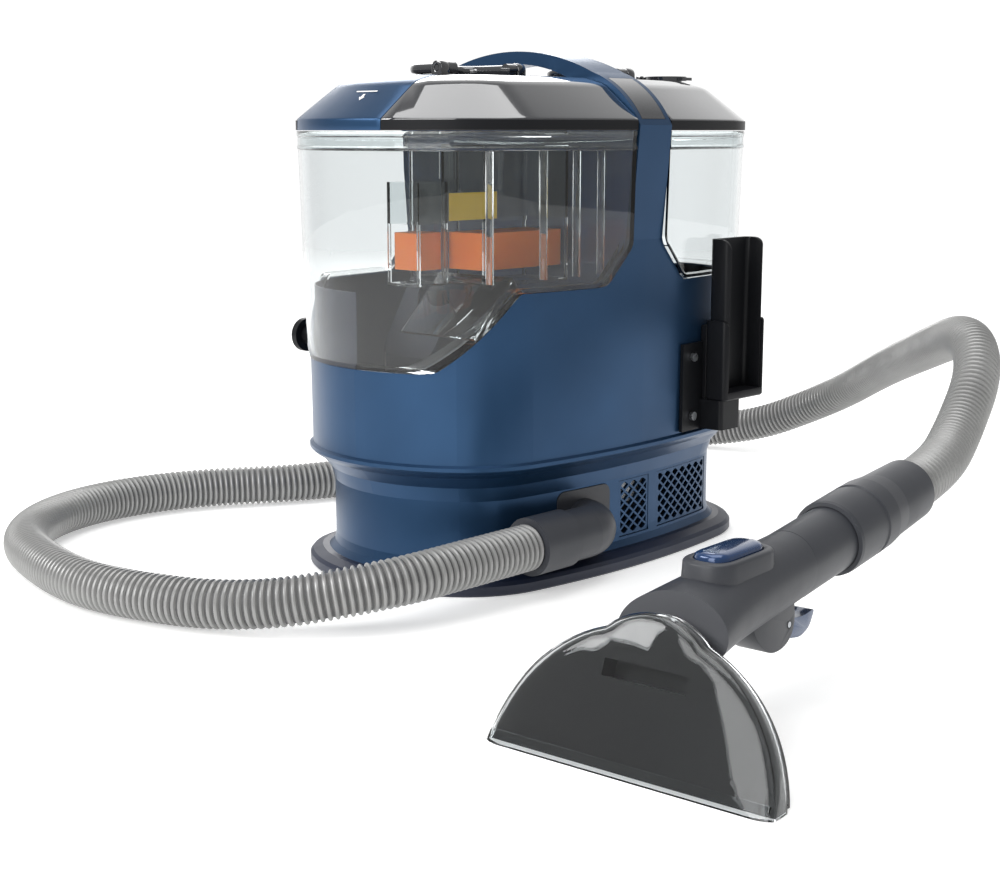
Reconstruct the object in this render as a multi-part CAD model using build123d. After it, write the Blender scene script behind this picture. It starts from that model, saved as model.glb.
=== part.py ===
from build123d import *
from math import atan2, cos, degrees, hypot, pi, radians, sin, tan
import os

# Portable upholstery and carpet spot cleaner.
# Millimetres. X runs along the machine, Y front to back, Z up.
# The origin is the middle of the base plate, on the floor.

# ---- plan outline of the machine -------------------------------------------
HALF_LENGTH = 181.0
HALF_DEPTH = 111.0
SIDE_RADIUS = 650.0
END_RADIUS = 120.0
CORNER_RADIUS = 76.0

# ---- heights ---------------------------------------------------------------
BASE_TOP = 12.0
NECK_TOP = 84.0
RIDGE_TOP = 90.0
DECK_BOTTOM = 112.0
DECK_TOP = 117.0
TANK_BOTTOM = 117.5
WINDOW_LOW = 151.0
WINDOW_HIGH = 204.0
STRAP_JOIN = 235.0
RIM = 310.0
LID_BAND = 318.0
LID_TOP = 347.0
HANDLE_TOP = 366.5

# ---- offsets from the plan outline, and walls ------------------------------
NECK_OFFSET = -18.0
TUB_OFFSET = -2.5
RIM_OFFSET = 4.4
TANK_DRAFT = 1.5
WALL = 3.0
TANK_WALL = 2.6
GAP = 0.4
SEAM = 0.8

# ---- strap and spine between the tanks -------------------------------------
STRAP_WIDTH = 36.0
STRAP_THICK = 5.0
SPINE_WIDTH = 36.0
GRIP_HALF_SPAN = 68.0
GRIP_THICK = 9.0

# ---- hose ------------------------------------------------------------------
HOSE_DIAMETER = 32.0
CUFF_RADIUS = 19.0
HOSE_ROUTE = [
    (-122, -107.5, 34.5),
    (-172, -106, 34),
    (-243, -96, 30),
    (-308, -34, 16.4),
    (-341, 66, 16.4),
    (-334, 140, 16.4),
    (-300, 237, 16.4),
    (-216, 294, 16.4),
    (-113, 289, 16.4),
    (-16, 221, 16.4),
    (88, 207, 16.4),
    (232, 263, 17),
    (360, 216, 16.4),
    (426, 97, 16.4),
    (431, -7, 62),
    (369, -93, 104),
    (223, -156, 116),
    (181, -266, 167),
    (128, -304, 148),
    (70, -318, 112),
    (9.6, -336.3, 99.2),
    (-35, -338.8, 93.5),
]
PORT_RUN = 77.0
PORT_DEPTH = 22.0
PORT_HEADING = (Vector(*HOSE_ROUTE[0]) - Vector(*HOSE_ROUTE[1])).normalized()
PORT_CORNER = Vector(*HOSE_ROUTE[0]) + PORT_HEADING * PORT_RUN
PORT = PORT_CORNER + Vector(0, PORT_DEPTH, 0)

# ---- hand tool, in its own frame: u along the handle, v to its left --------
TOOL_AT = Vector(-338.5, -355.8, 0)
TOOL_HEADING = 3.2
FACE_TILT = 70.0
LIP_WIDTH = 172.0
FACE_HEIGHT = 84.0
NOZZLE_DEPTH = 22.0
CHANNEL_DEPTH = 6.0
COVER_WALL = 1.8
HANDLE_RADIUS = 19.4
HANDLE_START = Vector(160, 0, 75)
HANDLE_END = Vector(304, 0, 93.5)

os.makedirs("parts", exist_ok=True)
NODES = {}


def keep(name, shape):
    """Store one node under its name."""
    NODES[name] = shape


# ---------------------------------------------------------------------------
# Plan outline helpers
# ---------------------------------------------------------------------------
def corner_centre():
    """Centre of the corner arc, tangent inside both the side and the end arc."""
    side = Vector(0, HALF_DEPTH - SIDE_RADIUS)
    end = Vector(HALF_LENGTH - END_RADIUS, 0)
    to_side = SIDE_RADIUS - CORNER_RADIUS
    to_end = END_RADIUS - CORNER_RADIUS
    apart = (end - side).length
    along = (to_side ** 2 - to_end ** 2 + apart ** 2) / (2 * apart)
    across = (to_side ** 2 - along ** 2) ** 0.5
    axis = (end - side).normalized()
    normal = Vector(axis.Y, -axis.X)
    return side + axis * along + normal * across


def oval_wire(offset, z):
    """Closed outline of the machine's plan, grown by offset, at height z."""
    centre = corner_centre()
    side = Vector(0, HALF_DEPTH - SIDE_RADIUS)
    end = Vector(HALF_LENGTH - END_RADIUS, 0)
    top = Vector(0, HALF_DEPTH + offset)
    tip = Vector(HALF_LENGTH + offset, 0)
    side_to_corner = (centre - side).normalized()
    end_to_corner = (centre - end).normalized()
    radius = CORNER_RADIUS + offset
    join_side = centre + side_to_corner * radius
    join_end = centre + end_to_corner * radius
    middle = centre + (side_to_corner + end_to_corner).normalized() * radius
    side_mid = side + (top - side + join_side - side).normalized() * (SIDE_RADIUS + offset)
    end_mid = end + (tip - end + join_end - end).normalized() * (END_RADIUS + offset)
    quarter = [(top, side_mid, join_side), (join_side, middle, join_end), (join_end, end_mid, tip)]
    edges = []
    for flip_x, flip_y, order in ((1, 1, 1), (1, -1, -1), (-1, -1, 1), (-1, 1, -1)):
        arcs = quarter if order == 1 else [(c, b, a) for a, b, c in reversed(quarter)]
        for arc in arcs:
            points = [Vector(p.X * flip_x, p.Y * flip_y, z) for p in arc]
            edges.append(Edge.make_three_point_arc(*points))
    return Wire(edges)


def oval_stack(sections):
    """Solid through several outlines, given as (height, offset)."""
    solid = None
    for (z0, off0), (z1, off1) in zip(sections, sections[1:]):
        slab = Solid.make_loft([oval_wire(off0, z0), oval_wire(off1, z1)], ruled=True)
        solid = slab if solid is None else solid.fuse(slab)
    return solid


def box_between(x0, x1, y0, y1, z0, z1):
    """Box from its two corners."""
    return Pos((x0 + x1) / 2, (y0 + y1) / 2, (z0 + z1) / 2) * Box(x1 - x0, y1 - y0, z1 - z0)


def rod(start, finish, radius):
    """Cylinder between two points."""
    start, finish = Vector(*start), Vector(*finish)
    plane = Plane(origin=start, z_dir=finish - start)
    return extrude(plane * Circle(radius), amount=(finish - start).length)


def one(shape):
    """The single solid of a result, largest first."""
    return max(shape.solids(), key=lambda s: s.volume)


def tank_offset(z):
    """Outward offset of a tank wall at height z, from its moulding draft."""
    return RIM_OFFSET - (RIM - z) * tan(radians(TANK_DRAFT))


# ---------------------------------------------------------------------------
# Window outlines in the tub wall, as prisms along Y
# ---------------------------------------------------------------------------
def window_prism(side, margin):
    """Space above the tub's edge on one side, pulled in by margin."""
    far = 260.0
    high = 420.0
    strap = STRAP_WIDTH / 2
    if side < 0:
        points = [(-far, WINDOW_LOW), (-164, WINDOW_LOW), (-121, WINDOW_HIGH),
                  (-44, WINDOW_HIGH), (-strap, STRAP_JOIN - 4), (-strap, high), (-far, high)]
        radii = [8, 9, 15, 12]
    else:
        points = [(far, WINDOW_HIGH), (46, WINDOW_HIGH), (strap, STRAP_JOIN - 2),
                  (strap, high), (far, high)]
        radii = [9, 16]
    outline = Wire.make_polygon([Vector(x, 0, z) for x, z in points], close=True)
    face = Face(outline)
    for (x, z), radius in zip(points[1:1 + len(radii)], radii):
        corner = min(face.vertices(), key=lambda v: hypot(v.X - x, v.Z - z))
        face = face.fillet_2d(radius, [corner])
    if margin:
        wire = face.outer_wire().offset_2d(-margin)
        face = Face(wire)
    prism = Solid.extrude(face, Vector(0, 400, 0))
    return Pos(0, -200, 0) * prism


def tank_block(side, margin, top):
    """Outside of a tank, moved in by margin: a flush upper part over an inset lower part."""
    low = WINDOW_LOW - 30
    upper = oval_stack([(low, tank_offset(low) - margin), (top, tank_offset(top) - margin)])
    upper = upper & window_prism(side, SEAM + margin)
    lower_offset = TUB_OFFSET - WALL - 1.2 - margin
    lower = oval_stack([(TANK_BOTTOM + margin, lower_offset), (STRAP_JOIN, lower_offset)])
    inner = SPINE_WIDTH / 2 + SEAM + margin
    far = 260.0
    x0, x1 = (-far, -inner) if side < 0 else (inner, far)
    lower = lower & box_between(x0, x1, -200, 200, TANK_BOTTOM + margin, STRAP_JOIN)
    return upper + lower


def half_plan(side, gap):
    """Everything on one side of the strap."""
    inner = STRAP_WIDTH / 2 + gap
    x0, x1 = (-260, -inner) if side < 0 else (inner, 260)
    return box_between(x0, x1, -200, 200, 0, 420)


LID_SECTIONS = [
    (RIM + 0.4, RIM_OFFSET + 0.6),
    (LID_BAND, RIM_OFFSET + 0.6),
    (329, -7),
    (339, -21),
    (LID_TOP, -38),
]


# ---------------------------------------------------------------------------
# Base, neck and tub
# ---------------------------------------------------------------------------
FOOT_RADIUS = 11.0
FOOT_HEIGHT = 2.2
FOOT_PLACES = [(sx * 128, sy * 62) for sx in (-1, 1) for sy in (-1, 1)]


def base_plate():
    """Foot plate with a rounded edge, and four shallow pockets for its pads."""
    plate = oval_stack([(0, -0.5), (1.5, 1), (7, 1), (9.5, -1), (BASE_TOP, -8)])
    for x, y in FOOT_PLACES:
        plate -= Pos(x, y, 0) * Cylinder(FOOT_RADIUS + 0.2, 2 * FOOT_HEIGHT)
    return one(plate)


def foot_pads():
    """Four rubber pads, flush with the underside."""
    return Compound([Pos(x, y, FOOT_HEIGHT / 2) * Cylinder(FOOT_RADIUS, FOOT_HEIGHT) for x, y in FOOT_PLACES])


NECK_SECTIONS = [
    (BASE_TOP, -13),
    (16, -17),
    (22, NECK_OFFSET),
    (62, NECK_OFFSET),
    (72, -15),
    (80, -8),
    (NECK_TOP, -2),
]
VENT_GROUPS = [(-6, 30), (41, 115)]
VENT_BOTTOM = 18.0
VENT_HEIGHT = 42.0
PLATE_BOX = (-71, -17, 15, 61)


FRONT_REACH = (-130, -60)
PLATE_CORNER = 7.0


def plate_block(gap):
    """Round-cornered block through the front wall, as large as the port plate less a gap."""
    x0, x1, z0, z1 = PLATE_BOX
    sketch = RectangleRounded(x1 - x0 - 2 * gap, z1 - z0 - 2 * gap, PLATE_CORNER - gap)
    place = Plane(origin=((x0 + x1) / 2, FRONT_REACH[0], (z0 + z1) / 2), x_dir=(1, 0, 0), z_dir=(0, 1, 0))
    return extrude(place * sketch, amount=FRONT_REACH[1] - FRONT_REACH[0])


def neck_windows():
    """Openings for the two grilles and the hose port plate."""
    boxes = [(x0, x1, VENT_BOTTOM, VENT_BOTTOM + VENT_HEIGHT) for x0, x1 in VENT_GROUPS]
    return [box_between(x0, x1, *FRONT_REACH, z0, z1) for x0, x1, z0, z1 in boxes] + [plate_block(0)]


def lower_housing():
    """Waisted lower body that holds the motor, flared out to the ridge."""
    inside = [(z, offset - WALL) for z, offset in NECK_SECTIONS]
    inside = [(BASE_TOP - 1, inside[0][1])] + inside + [(NECK_TOP + 1, inside[-1][1])]
    shell = oval_stack(NECK_SECTIONS) - oval_stack(inside)
    for cut in neck_windows():
        shell -= cut
    return one(shell)


VENT_PITCH_X = 10.8
VENT_PITCH_Z = 8.4
VENT_RIB = 1.1


def vent_grille(x0, x1):
    """Curved insert pierced by staggered rows of diamonds."""
    low, high = VENT_BOTTOM, VENT_BOTTOM + VENT_HEIGHT
    band = oval_stack([(low + GAP, NECK_OFFSET - 0.3), (high - GAP, NECK_OFFSET - 0.3)])
    band -= oval_stack([(low, NECK_OFFSET - 2.7), (high, NECK_OFFSET - 2.7)])
    band &= box_between(x0 + GAP, x1 - GAP, *FRONT_REACH, low, high)
    frame = box_between(x0 + 2.4, x1 - 2.4, *FRONT_REACH, low + 2, high - 2)
    half_x = VENT_PITCH_X / 2 - VENT_RIB
    half_z = VENT_PITCH_Z / 2 - VENT_RIB
    holes = []
    for row in range(-4, 5):
        z = (low + high) / 2 + row * VENT_PITCH_Z / 2
        for column in range(-5, 6):
            x = (x0 + x1) / 2 + (column + row % 2 / 2) * VENT_PITCH_X
            if abs(x - (x0 + x1) / 2) > (x1 - x0) / 2:
                continue
            corners = [(x - half_x, z), (x, z + half_z), (x + half_x, z), (x, z - half_z)]
            outline = Wire.make_polygon([Vector(cx, FRONT_REACH[0], cz) for cx, cz in corners], close=True)
            hole = Solid.extrude(Face(outline), Vector(0, 70, 0)) & frame
            holes += [solid for solid in hole.solids() if solid.volume > 200]
    return one(band.cut(*holes))


def tub_shell():
    """Coloured wall from the ridge up to the window edges and the foot of the strap."""
    outer = oval_stack([(NECK_TOP, -2), (86, 0), (88.5, 0), (RIDGE_TOP, TUB_OFFSET),
                        (STRAP_JOIN, TUB_OFFSET + 1.5)])
    inner = oval_stack([(NECK_TOP - 1, -2 - WALL), (STRAP_JOIN + 1, TUB_OFFSET - WALL)])
    shell = outer - inner
    for side in (-1, 1):
        shell -= window_prism(side, 0)
    return one(shell)


DUCT_AT = (-60, 40)
DUCT_RADIUS = 17.0
VALVE_AT = (124, 0)


def deck():
    """Floor under the tanks, with the two docking holes and the motor duct."""
    plate = oval_stack([(DECK_BOTTOM, TUB_OFFSET - WALL - 0.2), (DECK_TOP, TUB_OFFSET - WALL - 0.2)])
    plate -= Pos(*DUCT_AT, DECK_TOP) * Cylinder(DUCT_RADIUS + 0.2, 20)
    plate -= Pos(*VALVE_AT, DECK_TOP) * Cylinder(11.2, 20)
    return one(plate)


def spine():
    """Wall between the two tanks, from the deck up to the level of the lids."""
    inset = -3.0
    lower = oval_stack([(DECK_TOP, TUB_OFFSET - WALL - 0.5), (STRAP_JOIN, TUB_OFFSET - WALL - 0.5),
                        (STRAP_JOIN + 6, inset), (RIM, inset + 2), (LID_BAND, inset + 2),
                        (329, -11), (338, -30)])
    core = lower & box_between(-SPINE_WIDTH / 2, SPINE_WIDTH / 2, -200, 200, DECK_TOP, 400)
    wall_offset = TUB_OFFSET - 2 * WALL - 2
    hollow = oval_stack([(DECK_TOP - 1, wall_offset), (RIM, wall_offset), (328, -30)])
    hollow &= box_between(-SPINE_WIDTH / 2 + WALL, SPINE_WIDTH / 2 - WALL, -200, 200, DECK_TOP - 1, 400)
    return one(core - hollow - carry_handle())


def flat_face(segments, x=0.0):
    """Face in the YZ plane at x, from segments of two points (line) or three (arc)."""
    edges = []
    for segment in segments:
        points = [Vector(x, y, z) for y, z in segment]
        maker = Edge.make_line if len(points) == 2 else Edge.make_three_point_arc
        edges.append(maker(*points))
    return Face(Wire(edges))


def across(segments, width):
    """Slab of the given width along X, centred, with that YZ outline."""
    return Solid.extrude(flat_face(segments, -width / 2), Vector(width, 0, 0))


STRAP_FOOT = (HALF_DEPTH + TUB_OFFSET + 1.5, STRAP_JOIN)
STRAP_SHOULDER = (HALF_DEPTH + RIM_OFFSET + 1.6, RIM + 4)
STRAP_BEND = (HALF_DEPTH - 7, 332.0)
GRIP_FOOT = (GRIP_HALF_SPAN + 6, 350.5)


PAD_DEPTH = 1.6
PAD_WIDTH = 27.0
PAD_LOW = 318.0
PAD_BACK = 84.0


def mirror_y(point):
    """The same point on the front half."""
    return (-point[0], point[1])


def carry_handle():
    """Strap up the front, arched grip over the lids, strap down the back."""
    t = STRAP_THICK
    foot, shoulder, bend, grip = STRAP_FOOT, STRAP_SHOULDER, STRAP_BEND, GRIP_FOOT
    foot_in = (foot[0] - t, foot[1])
    shoulder_in = (shoulder[0] - t, shoulder[1] - 1)
    bend_in = (bend[0] - t, bend[1] - 2)
    seat_out = (GRIP_HALF_SPAN + 14, 339)
    seat_in = (GRIP_HALF_SPAN, 339)
    back = [(grip, bend, shoulder), (shoulder, foot), (foot, foot_in), (foot_in, shoulder_in),
            (shoulder_in, bend_in, seat_out), (seat_out, seat_in)]
    front = [tuple(mirror_y(p) for p in reversed(segment)) for segment in reversed(back)]
    outer_arch = [(mirror_y(grip), (0, HANDLE_TOP), grip)]
    inner_arch = [(seat_in, (0, HANDLE_TOP - GRIP_THICK), mirror_y(seat_in))]
    band = across(outer_arch + back + inner_arch + front, STRAP_WIDTH)
    return one(band - pad_skin(PAD_DEPTH, PAD_WIDTH, 0))


def pad_skin(depth, width, gap):
    """Layer of that depth under the outer surface of the strap's front shoulder."""
    shoulder, bend, grip = mirror_y(STRAP_SHOULDER), mirror_y(STRAP_BEND), mirror_y(GRIP_FOOT)
    shift = depth * 0.7
    grip_in = (grip[0] + shift, grip[1] - shift)
    bend_in = (bend[0] + shift, bend[1] - shift)
    shoulder_in = (shoulder[0] + depth, shoulder[1])
    outline = [(shoulder, bend, grip), (grip, grip_in), (grip_in, bend_in, shoulder_in),
               (shoulder_in, shoulder)]
    skin = across(outline, width - 2 * gap)
    return skin & box_between(-20, 20, -140, -PAD_BACK - gap, PAD_LOW + gap, 360)


def strap_pad():
    """Smoky inset panel on the strap's front shoulder."""
    return one(pad_skin(PAD_DEPTH, PAD_WIDTH, 0.3))


# ---------------------------------------------------------------------------
# Machine works inside the lower body
# ---------------------------------------------------------------------------
MOTOR_AT = (72, 0)
MOTOR_RADIUS = 46.0
SHAFT_RADIUS = 4.0
FAN_RADIUS = 58.0
FAN_LOW = 70.0
FAN_HIGH = 98.0


def suction_motor():
    """Motor can with a bore for its shaft and a step at its lower bearing."""
    can = Pos(*MOTOR_AT, 42) * Cylinder(MOTOR_RADIUS, 50) + Pos(*MOTOR_AT, 15) * Cylinder(18, 6)
    return one(can - Pos(*MOTOR_AT, 50) * Cylinder(SHAFT_RADIUS + 0.4, 60))


def motor_cradle():
    """Ring and four legs that carry the motor on the foot plate."""
    ring = Pos(*MOTOR_AT, 21) * (Cylinder(MOTOR_RADIUS + 5, 10) - Cylinder(MOTOR_RADIUS + 0.2, 12))
    for sx in (-1, 1):
        for sy in (-1, 1):
            ring += Pos(MOTOR_AT[0] + sx * 34, MOTOR_AT[1] + sy * 34, 16) * Cylinder(5, 8)
    return one(ring - Pos(*MOTOR_AT, 42) * Cylinder(MOTOR_RADIUS + 0.2, 50.4))


def fan_housing():
    """Shallow drum round the impeller, open at its eye."""
    drum = Pos(*MOTOR_AT, (FAN_LOW + FAN_HIGH) / 2) * Cylinder(FAN_RADIUS, FAN_HIGH - FAN_LOW)
    drum -= Pos(*MOTOR_AT, (FAN_LOW + FAN_HIGH) / 2) * Cylinder(FAN_RADIUS - 3, FAN_HIGH - FAN_LOW - 6)
    drum -= Pos(*MOTOR_AT, FAN_HIGH) * Cylinder(DUCT_RADIUS, 12)
    return one(drum - Pos(*MOTOR_AT, FAN_LOW) * Cylinder(SHAFT_RADIUS + 1.5, 12))


def fan_impeller():
    """Two discs with swept vanes between them, on the motor's shaft."""
    low, high = FAN_LOW + 5, FAN_HIGH - 5
    wheel = Pos(*MOTOR_AT, low + 1) * Cylinder(48, 2)
    top = Pos(*MOTOR_AT, high - 1) * (Cylinder(48, 2) - Cylinder(DUCT_RADIUS, 4))
    wheel += Pos(*MOTOR_AT, (low + high) / 2) * Cylinder(9, high - low)
    wheel += top
    blade = Pos(30, 6, 0) * Rot(0, 0, 24) * Box(34, 2, high - low)
    for turn in range(0, 360, 45):
        wheel += Pos(*MOTOR_AT, (low + high) / 2) * Rot(0, 0, turn) * blade
    return one(wheel + rod((*MOTOR_AT, 24), (*MOTOR_AT, low + 1), SHAFT_RADIUS))


def air_duct():
    """Flat duct from the eye of the fan to the dirty tank's dock."""
    start, finish = Vector(*MOTOR_AT), Vector(*DUCT_AT)
    middle = (start + finish) / 2
    heading = degrees(atan2(finish.Y - start.Y, finish.X - start.X))
    span = (finish - start).length
    place = Pos(middle.X, middle.Y, FAN_HIGH) * Rot(0, 0, heading)
    body = place * extrude(SlotCenterToCenter(span, 42), amount=13)
    body -= place * Pos(0, 0, 2) * extrude(SlotCenterToCenter(span, 36), amount=9)
    body -= Pos(*MOTOR_AT, FAN_HIGH) * Cylinder(DUCT_RADIUS, 8)
    body -= Pos(*DUCT_AT, FAN_HIGH + 13) * Cylinder(DUCT_RADIUS - 3, 8)
    return one(body)


def dock_collar():
    """Rubber collar in the deck that seals the duct to the dirty tank."""
    collar = Pos(*DUCT_AT, (FAN_HIGH + 13 + DECK_TOP) / 2) * Cylinder(DUCT_RADIUS, DECK_TOP - FAN_HIGH - 13)
    return one(collar - Pos(*DUCT_AT, DECK_TOP) * Cylinder(DUCT_RADIUS - 3.5, 20))


def water_pump():
    """Pump block with its motor and two spigots."""
    body = Pos(-100, -30, 32) * Box(46, 34, 34) + Pos(-100, 4, 32) * Rot(90, 0, 0) * Cylinder(14, 36)
    for dx in (-12, 12):
        body += Pos(-100 + dx, -30, 55) * Cylinder(4, 14)
    return one(body)


def control_board():
    """Upright circuit board with its relay and capacitor."""
    body = Pos(-120, 38, 44) * Box(60, 2, 50) + Pos(-136, 42.5, 40) * Box(20, 9, 16)
    return one(body + Pos(-108, 46, 52) * Rot(90, 0, 0) * Cylinder(8, 14))


# ---------------------------------------------------------------------------
# Fittings on the outside
# ---------------------------------------------------------------------------
def port_plate():
    """Charcoal plate that fills its opening in the lower body."""
    low, high = PLATE_BOX[2:]
    band = oval_stack([(low, NECK_OFFSET + 0.8), (high, NECK_OFFSET + 0.8)])
    band -= oval_stack([(low - 1, NECK_OFFSET - 2.6), (high + 1, NECK_OFFSET - 2.6)])
    band &= plate_block(GAP)
    return one(band - rod((PORT.X, -130, PORT.Z), (PORT.X, -60, PORT.Z), CUFF_RADIUS - 0.95))


def hose_elbow():
    """Plug-in elbow that turns the hose along the front of the machine."""
    hose_end = Vector(*HOSE_ROUTE[0])
    path = FilletPolyline(hose_end, PORT_CORNER, PORT + Vector(0, 0.4, 0), radius=CUFF_RADIUS + 1)
    ring = Plane(origin=hose_end, z_dir=PORT_CORNER - hose_end) * Circle(CUFF_RADIUS - 1)
    return one(sweep(ring, path=path))


def hose_sleeve():
    """Wider grip sleeve over the elbow's hose end."""
    start = Vector(*HOSE_ROUTE[0])
    along = (PORT_CORNER - start).normalized()
    finish = start + along * 34
    return one(rod(start, finish, CUFF_RADIUS + 1) - rod(start - along, finish + along, CUFF_RADIUS - 1))


def suction_hose():
    """Ribbed hose as one plain tube: straight runs joined by tangent arcs."""
    points = [Vector(*p) for p in HOSE_ROUTE]
    radii = []
    for before, corner, after in zip(points, points[1:], points[2:]):
        turn = radians((corner - before).get_angle(after - corner))
        shorter = min((corner - before).length, (after - corner).length)
        radii.append(0.45 * shorter / tan(turn / 2))
    path = FilletPolyline(*points, radius=radii)
    ring = Plane(origin=points[0], z_dir=points[1] - points[0]) * Circle(HOSE_DIAMETER / 2)
    tube = one(sweep(ring, path=path))
    expected = pi * (HOSE_DIAMETER / 2) ** 2 * path.length
    print("hose length", round(path.length), "volume ratio", round(tube.volume / expected, 4))
    print("hose radii", [round(r) for r in radii])
    return tube


HOLSTER = (74, 120, -129.5, -112.0)
HOLSTER_LOW = 113.0
HOLSTER_STEP = 172.0
HOLSTER_TOP = 232.0


def rounded_post(x0, x1, y0, y1, z0, z1, radius):
    """Upright block with rounded vertical edges."""
    sketch = Pos((x0 + x1) / 2, (y0 + y1) / 2, z0) * RectangleRounded(x1 - x0, y1 - y0, radius)
    return extrude(sketch, amount=z1 - z0)


def holster_cup():
    """Pocket that holds the hand tool by its neck, open at the top."""
    x0, x1, y0, y1 = HOLSTER
    cup = rounded_post(x0, x1, y0, y1, HOLSTER_LOW, HOLSTER_TOP, 5)
    cup += rounded_post(x0 - 3, x1 + 2, y0 - 1, y1 + 1, HOLSTER_LOW, HOLSTER_STEP, 5)
    cup -= rounded_post(x0 + 3, x1 - 3, y0 + 3, y1 - 3, HOLSTER_LOW + 8, HOLSTER_TOP + 1, 2.5)
    return one(cup)


def holster_plate():
    """Curved mounting plate on the tub, with the rib that carries the cup."""
    x0, x1, y0, y1 = HOLSTER
    band = oval_stack([(RIDGE_TOP + 1, TUB_OFFSET + 3.4), (156, TUB_OFFSET + 3.6)])
    band -= oval_stack([(RIDGE_TOP, TUB_OFFSET + 0.8), (157, TUB_OFFSET + 0.8)])
    band &= box_between(46, 100, -130, -60, RIDGE_TOP, 156)
    rib = rounded_post(x0 - 3, x0 + 22, y0 + 2, -96, RIDGE_TOP + 1, HOLSTER_LOW, 3)
    web = rounded_post(x0, x1 - 10, y1 + 1, -94, HOLSTER_LOW, 168, 1)
    body = band + (rib + web - oval_stack([(RIDGE_TOP, TUB_OFFSET + 1.6), (170, TUB_OFFSET + 1.6)]))
    return one(body)


def holster_screws():
    """Two pan-head screws in the mounting plate."""
    heads = []
    for z in (102, 146):
        heads.append(rod((58, -109.9, z), (58, -112.6, z), 3.2))
    return Compound([one(head) for head in heads])


POST_PLACES = [(-118, 160), (118, 160)]


def cord_posts():
    """Two posts with wide heads on the back, for winding the lead."""
    posts = []
    for x, z in POST_PLACES:
        post = rod((x, 92.5, z), (x, 118, z), 7) + rod((x, 116, z), (x, 121, z), 12.5)
        posts.append(one(post - oval_stack([(z - 20, TUB_OFFSET + 1.2), (z + 20, TUB_OFFSET + 1.2)])))
    return Compound(posts)


def cord_gland():
    """Moulded inlet for the mains lead, low on the back of the lower body."""
    body = rod((95, 60, 40), (95, 92, 40), 9) + rod((95, 90, 40), (95, 98, 40), 6.5)
    body -= oval_stack([(20, NECK_OFFSET + 0.4), (60, NECK_OFFSET + 0.4)])
    return one(body - rod((95, 60, 40), (95, 110, 40), 3.6))


SWITCH_AT = Vector(0, HALF_DEPTH + TUB_OFFSET + 3.2, 190)
SWITCH_AXIS = SWITCH_AT.Y + 0.5


def switch_bezel():
    """Frame round the power rocker, on the back."""
    frame = Pos(SWITCH_AT.X, SWITCH_AT.Y - 0.3, SWITCH_AT.Z) * Box(30, 3.2, 22)
    return one(frame - Pos(*SWITCH_AT) * Box(22.6, 8, 14.6))


def power_rocker():
    """Rocker with a dished face that tips about its middle."""
    y, z, half = SWITCH_AT.Y, SWITCH_AT.Z, 6.6
    outline = [((y - 0.9, z - half), (y + 2.6, z - half)),
               ((y + 2.6, z - half), (y + 1.4, z), (y + 2.6, z + half)),
               ((y + 2.6, z + half), (y - 0.9, z + half)),
               ((y - 0.9, z + half), (y - 0.9, z - half))]
    pins = rod((-11.1, SWITCH_AXIS, z), (11.1, SWITCH_AXIS, z), 1.2)
    return one(across(outline, 21.6) + pins)


# ---------------------------------------------------------------------------
# Tanks
# ---------------------------------------------------------------------------
def dirty_tank_shell():
    """Clear recovery tank, open at the top and over its dock."""
    shell = one(tank_block(-1, 0, RIM)) - one(tank_block(-1, TANK_WALL, RIM + 2))
    return one(shell - Pos(*DUCT_AT, TANK_BOTTOM) * Cylinder(DUCT_RADIUS - 4, 12))


def clean_tank_shell():
    """Clear fresh-water tank, open at the top and over its valve."""
    shell = one(tank_block(1, 0, RIM)) - one(tank_block(1, TANK_WALL, RIM + 2))
    return one(shell - Pos(*VALVE_AT, TANK_BOTTOM) * Cylinder(7, 12))


TOWER = (-92, -24, 14, 66)
TOWER_TOP = 204.0


def separator_tower():
    """Dark inner tower over the dock, sloped down towards the front left."""
    x0, x1, y0, y1 = TOWER
    floor = TANK_BOTTOM + TANK_WALL
    body = rounded_post(x0, x1, y0, y1, floor, TOWER_TOP, 8)
    slope = [Vector(x0 - 1, -200, TOWER_TOP - 58), Vector(x0 + 34, -200, TOWER_TOP + 1),
             Vector(x0 - 1, -200, TOWER_TOP + 1)]
    body -= Solid.extrude(Face(Wire.make_polygon(slope, close=True)), Vector(0, 400, 0))
    body -= Pos(*DUCT_AT, (floor + TOWER_TOP) / 2) * Cylinder(DUCT_RADIUS - 4, 200)
    return one(body)


RISER = (-74, -46, 26, 54)
RISER_TOP = 300.0


def riser_duct():
    """Clear square riser from the tower to just under the lid, open on one side at its top."""
    x0, x1, y0, y1 = RISER
    duct = rounded_post(x0, x1, y0, y1, TOWER_TOP, RISER_TOP, 4)
    duct -= rounded_post(x0 + 2, x1 - 2, y0 + 2, y1 - 2, TOWER_TOP - 1, RISER_TOP - 2, 2.5)
    return one(duct - box_between(x0 + 6, x1 - 6, y0 - 5, y0 + 5, RISER_TOP - 24, RISER_TOP - 5))


CAGE = (-116, -30, -62, -22)
CAGE_LOW = 206.0
CAGE_HIGH = 302.0
FLOAT_LOW = 217.0
FLOAT_HIGH = 242.0
FLOAT_TRAVEL = 40.0


CAGE_WALL = 1.8


def cage_feet(plan, top):
    """Four corner rails down to a rim that the float rests in."""
    x0, x1, y0, y1 = plan
    t = CAGE_WALL
    feet = box_between(x0, x1, y0, y1, CAGE_LOW, CAGE_LOW + t)
    feet -= box_between(x0 + 6, x1 - 6, y0 + 6, y1 - 6, CAGE_LOW - 5, CAGE_LOW + 15)
    for x in (x0, x1 - t):
        for y in (y0, y1 - t):
            feet += box_between(x, x + t, y, y + t, CAGE_LOW, top)
    return feet


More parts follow.
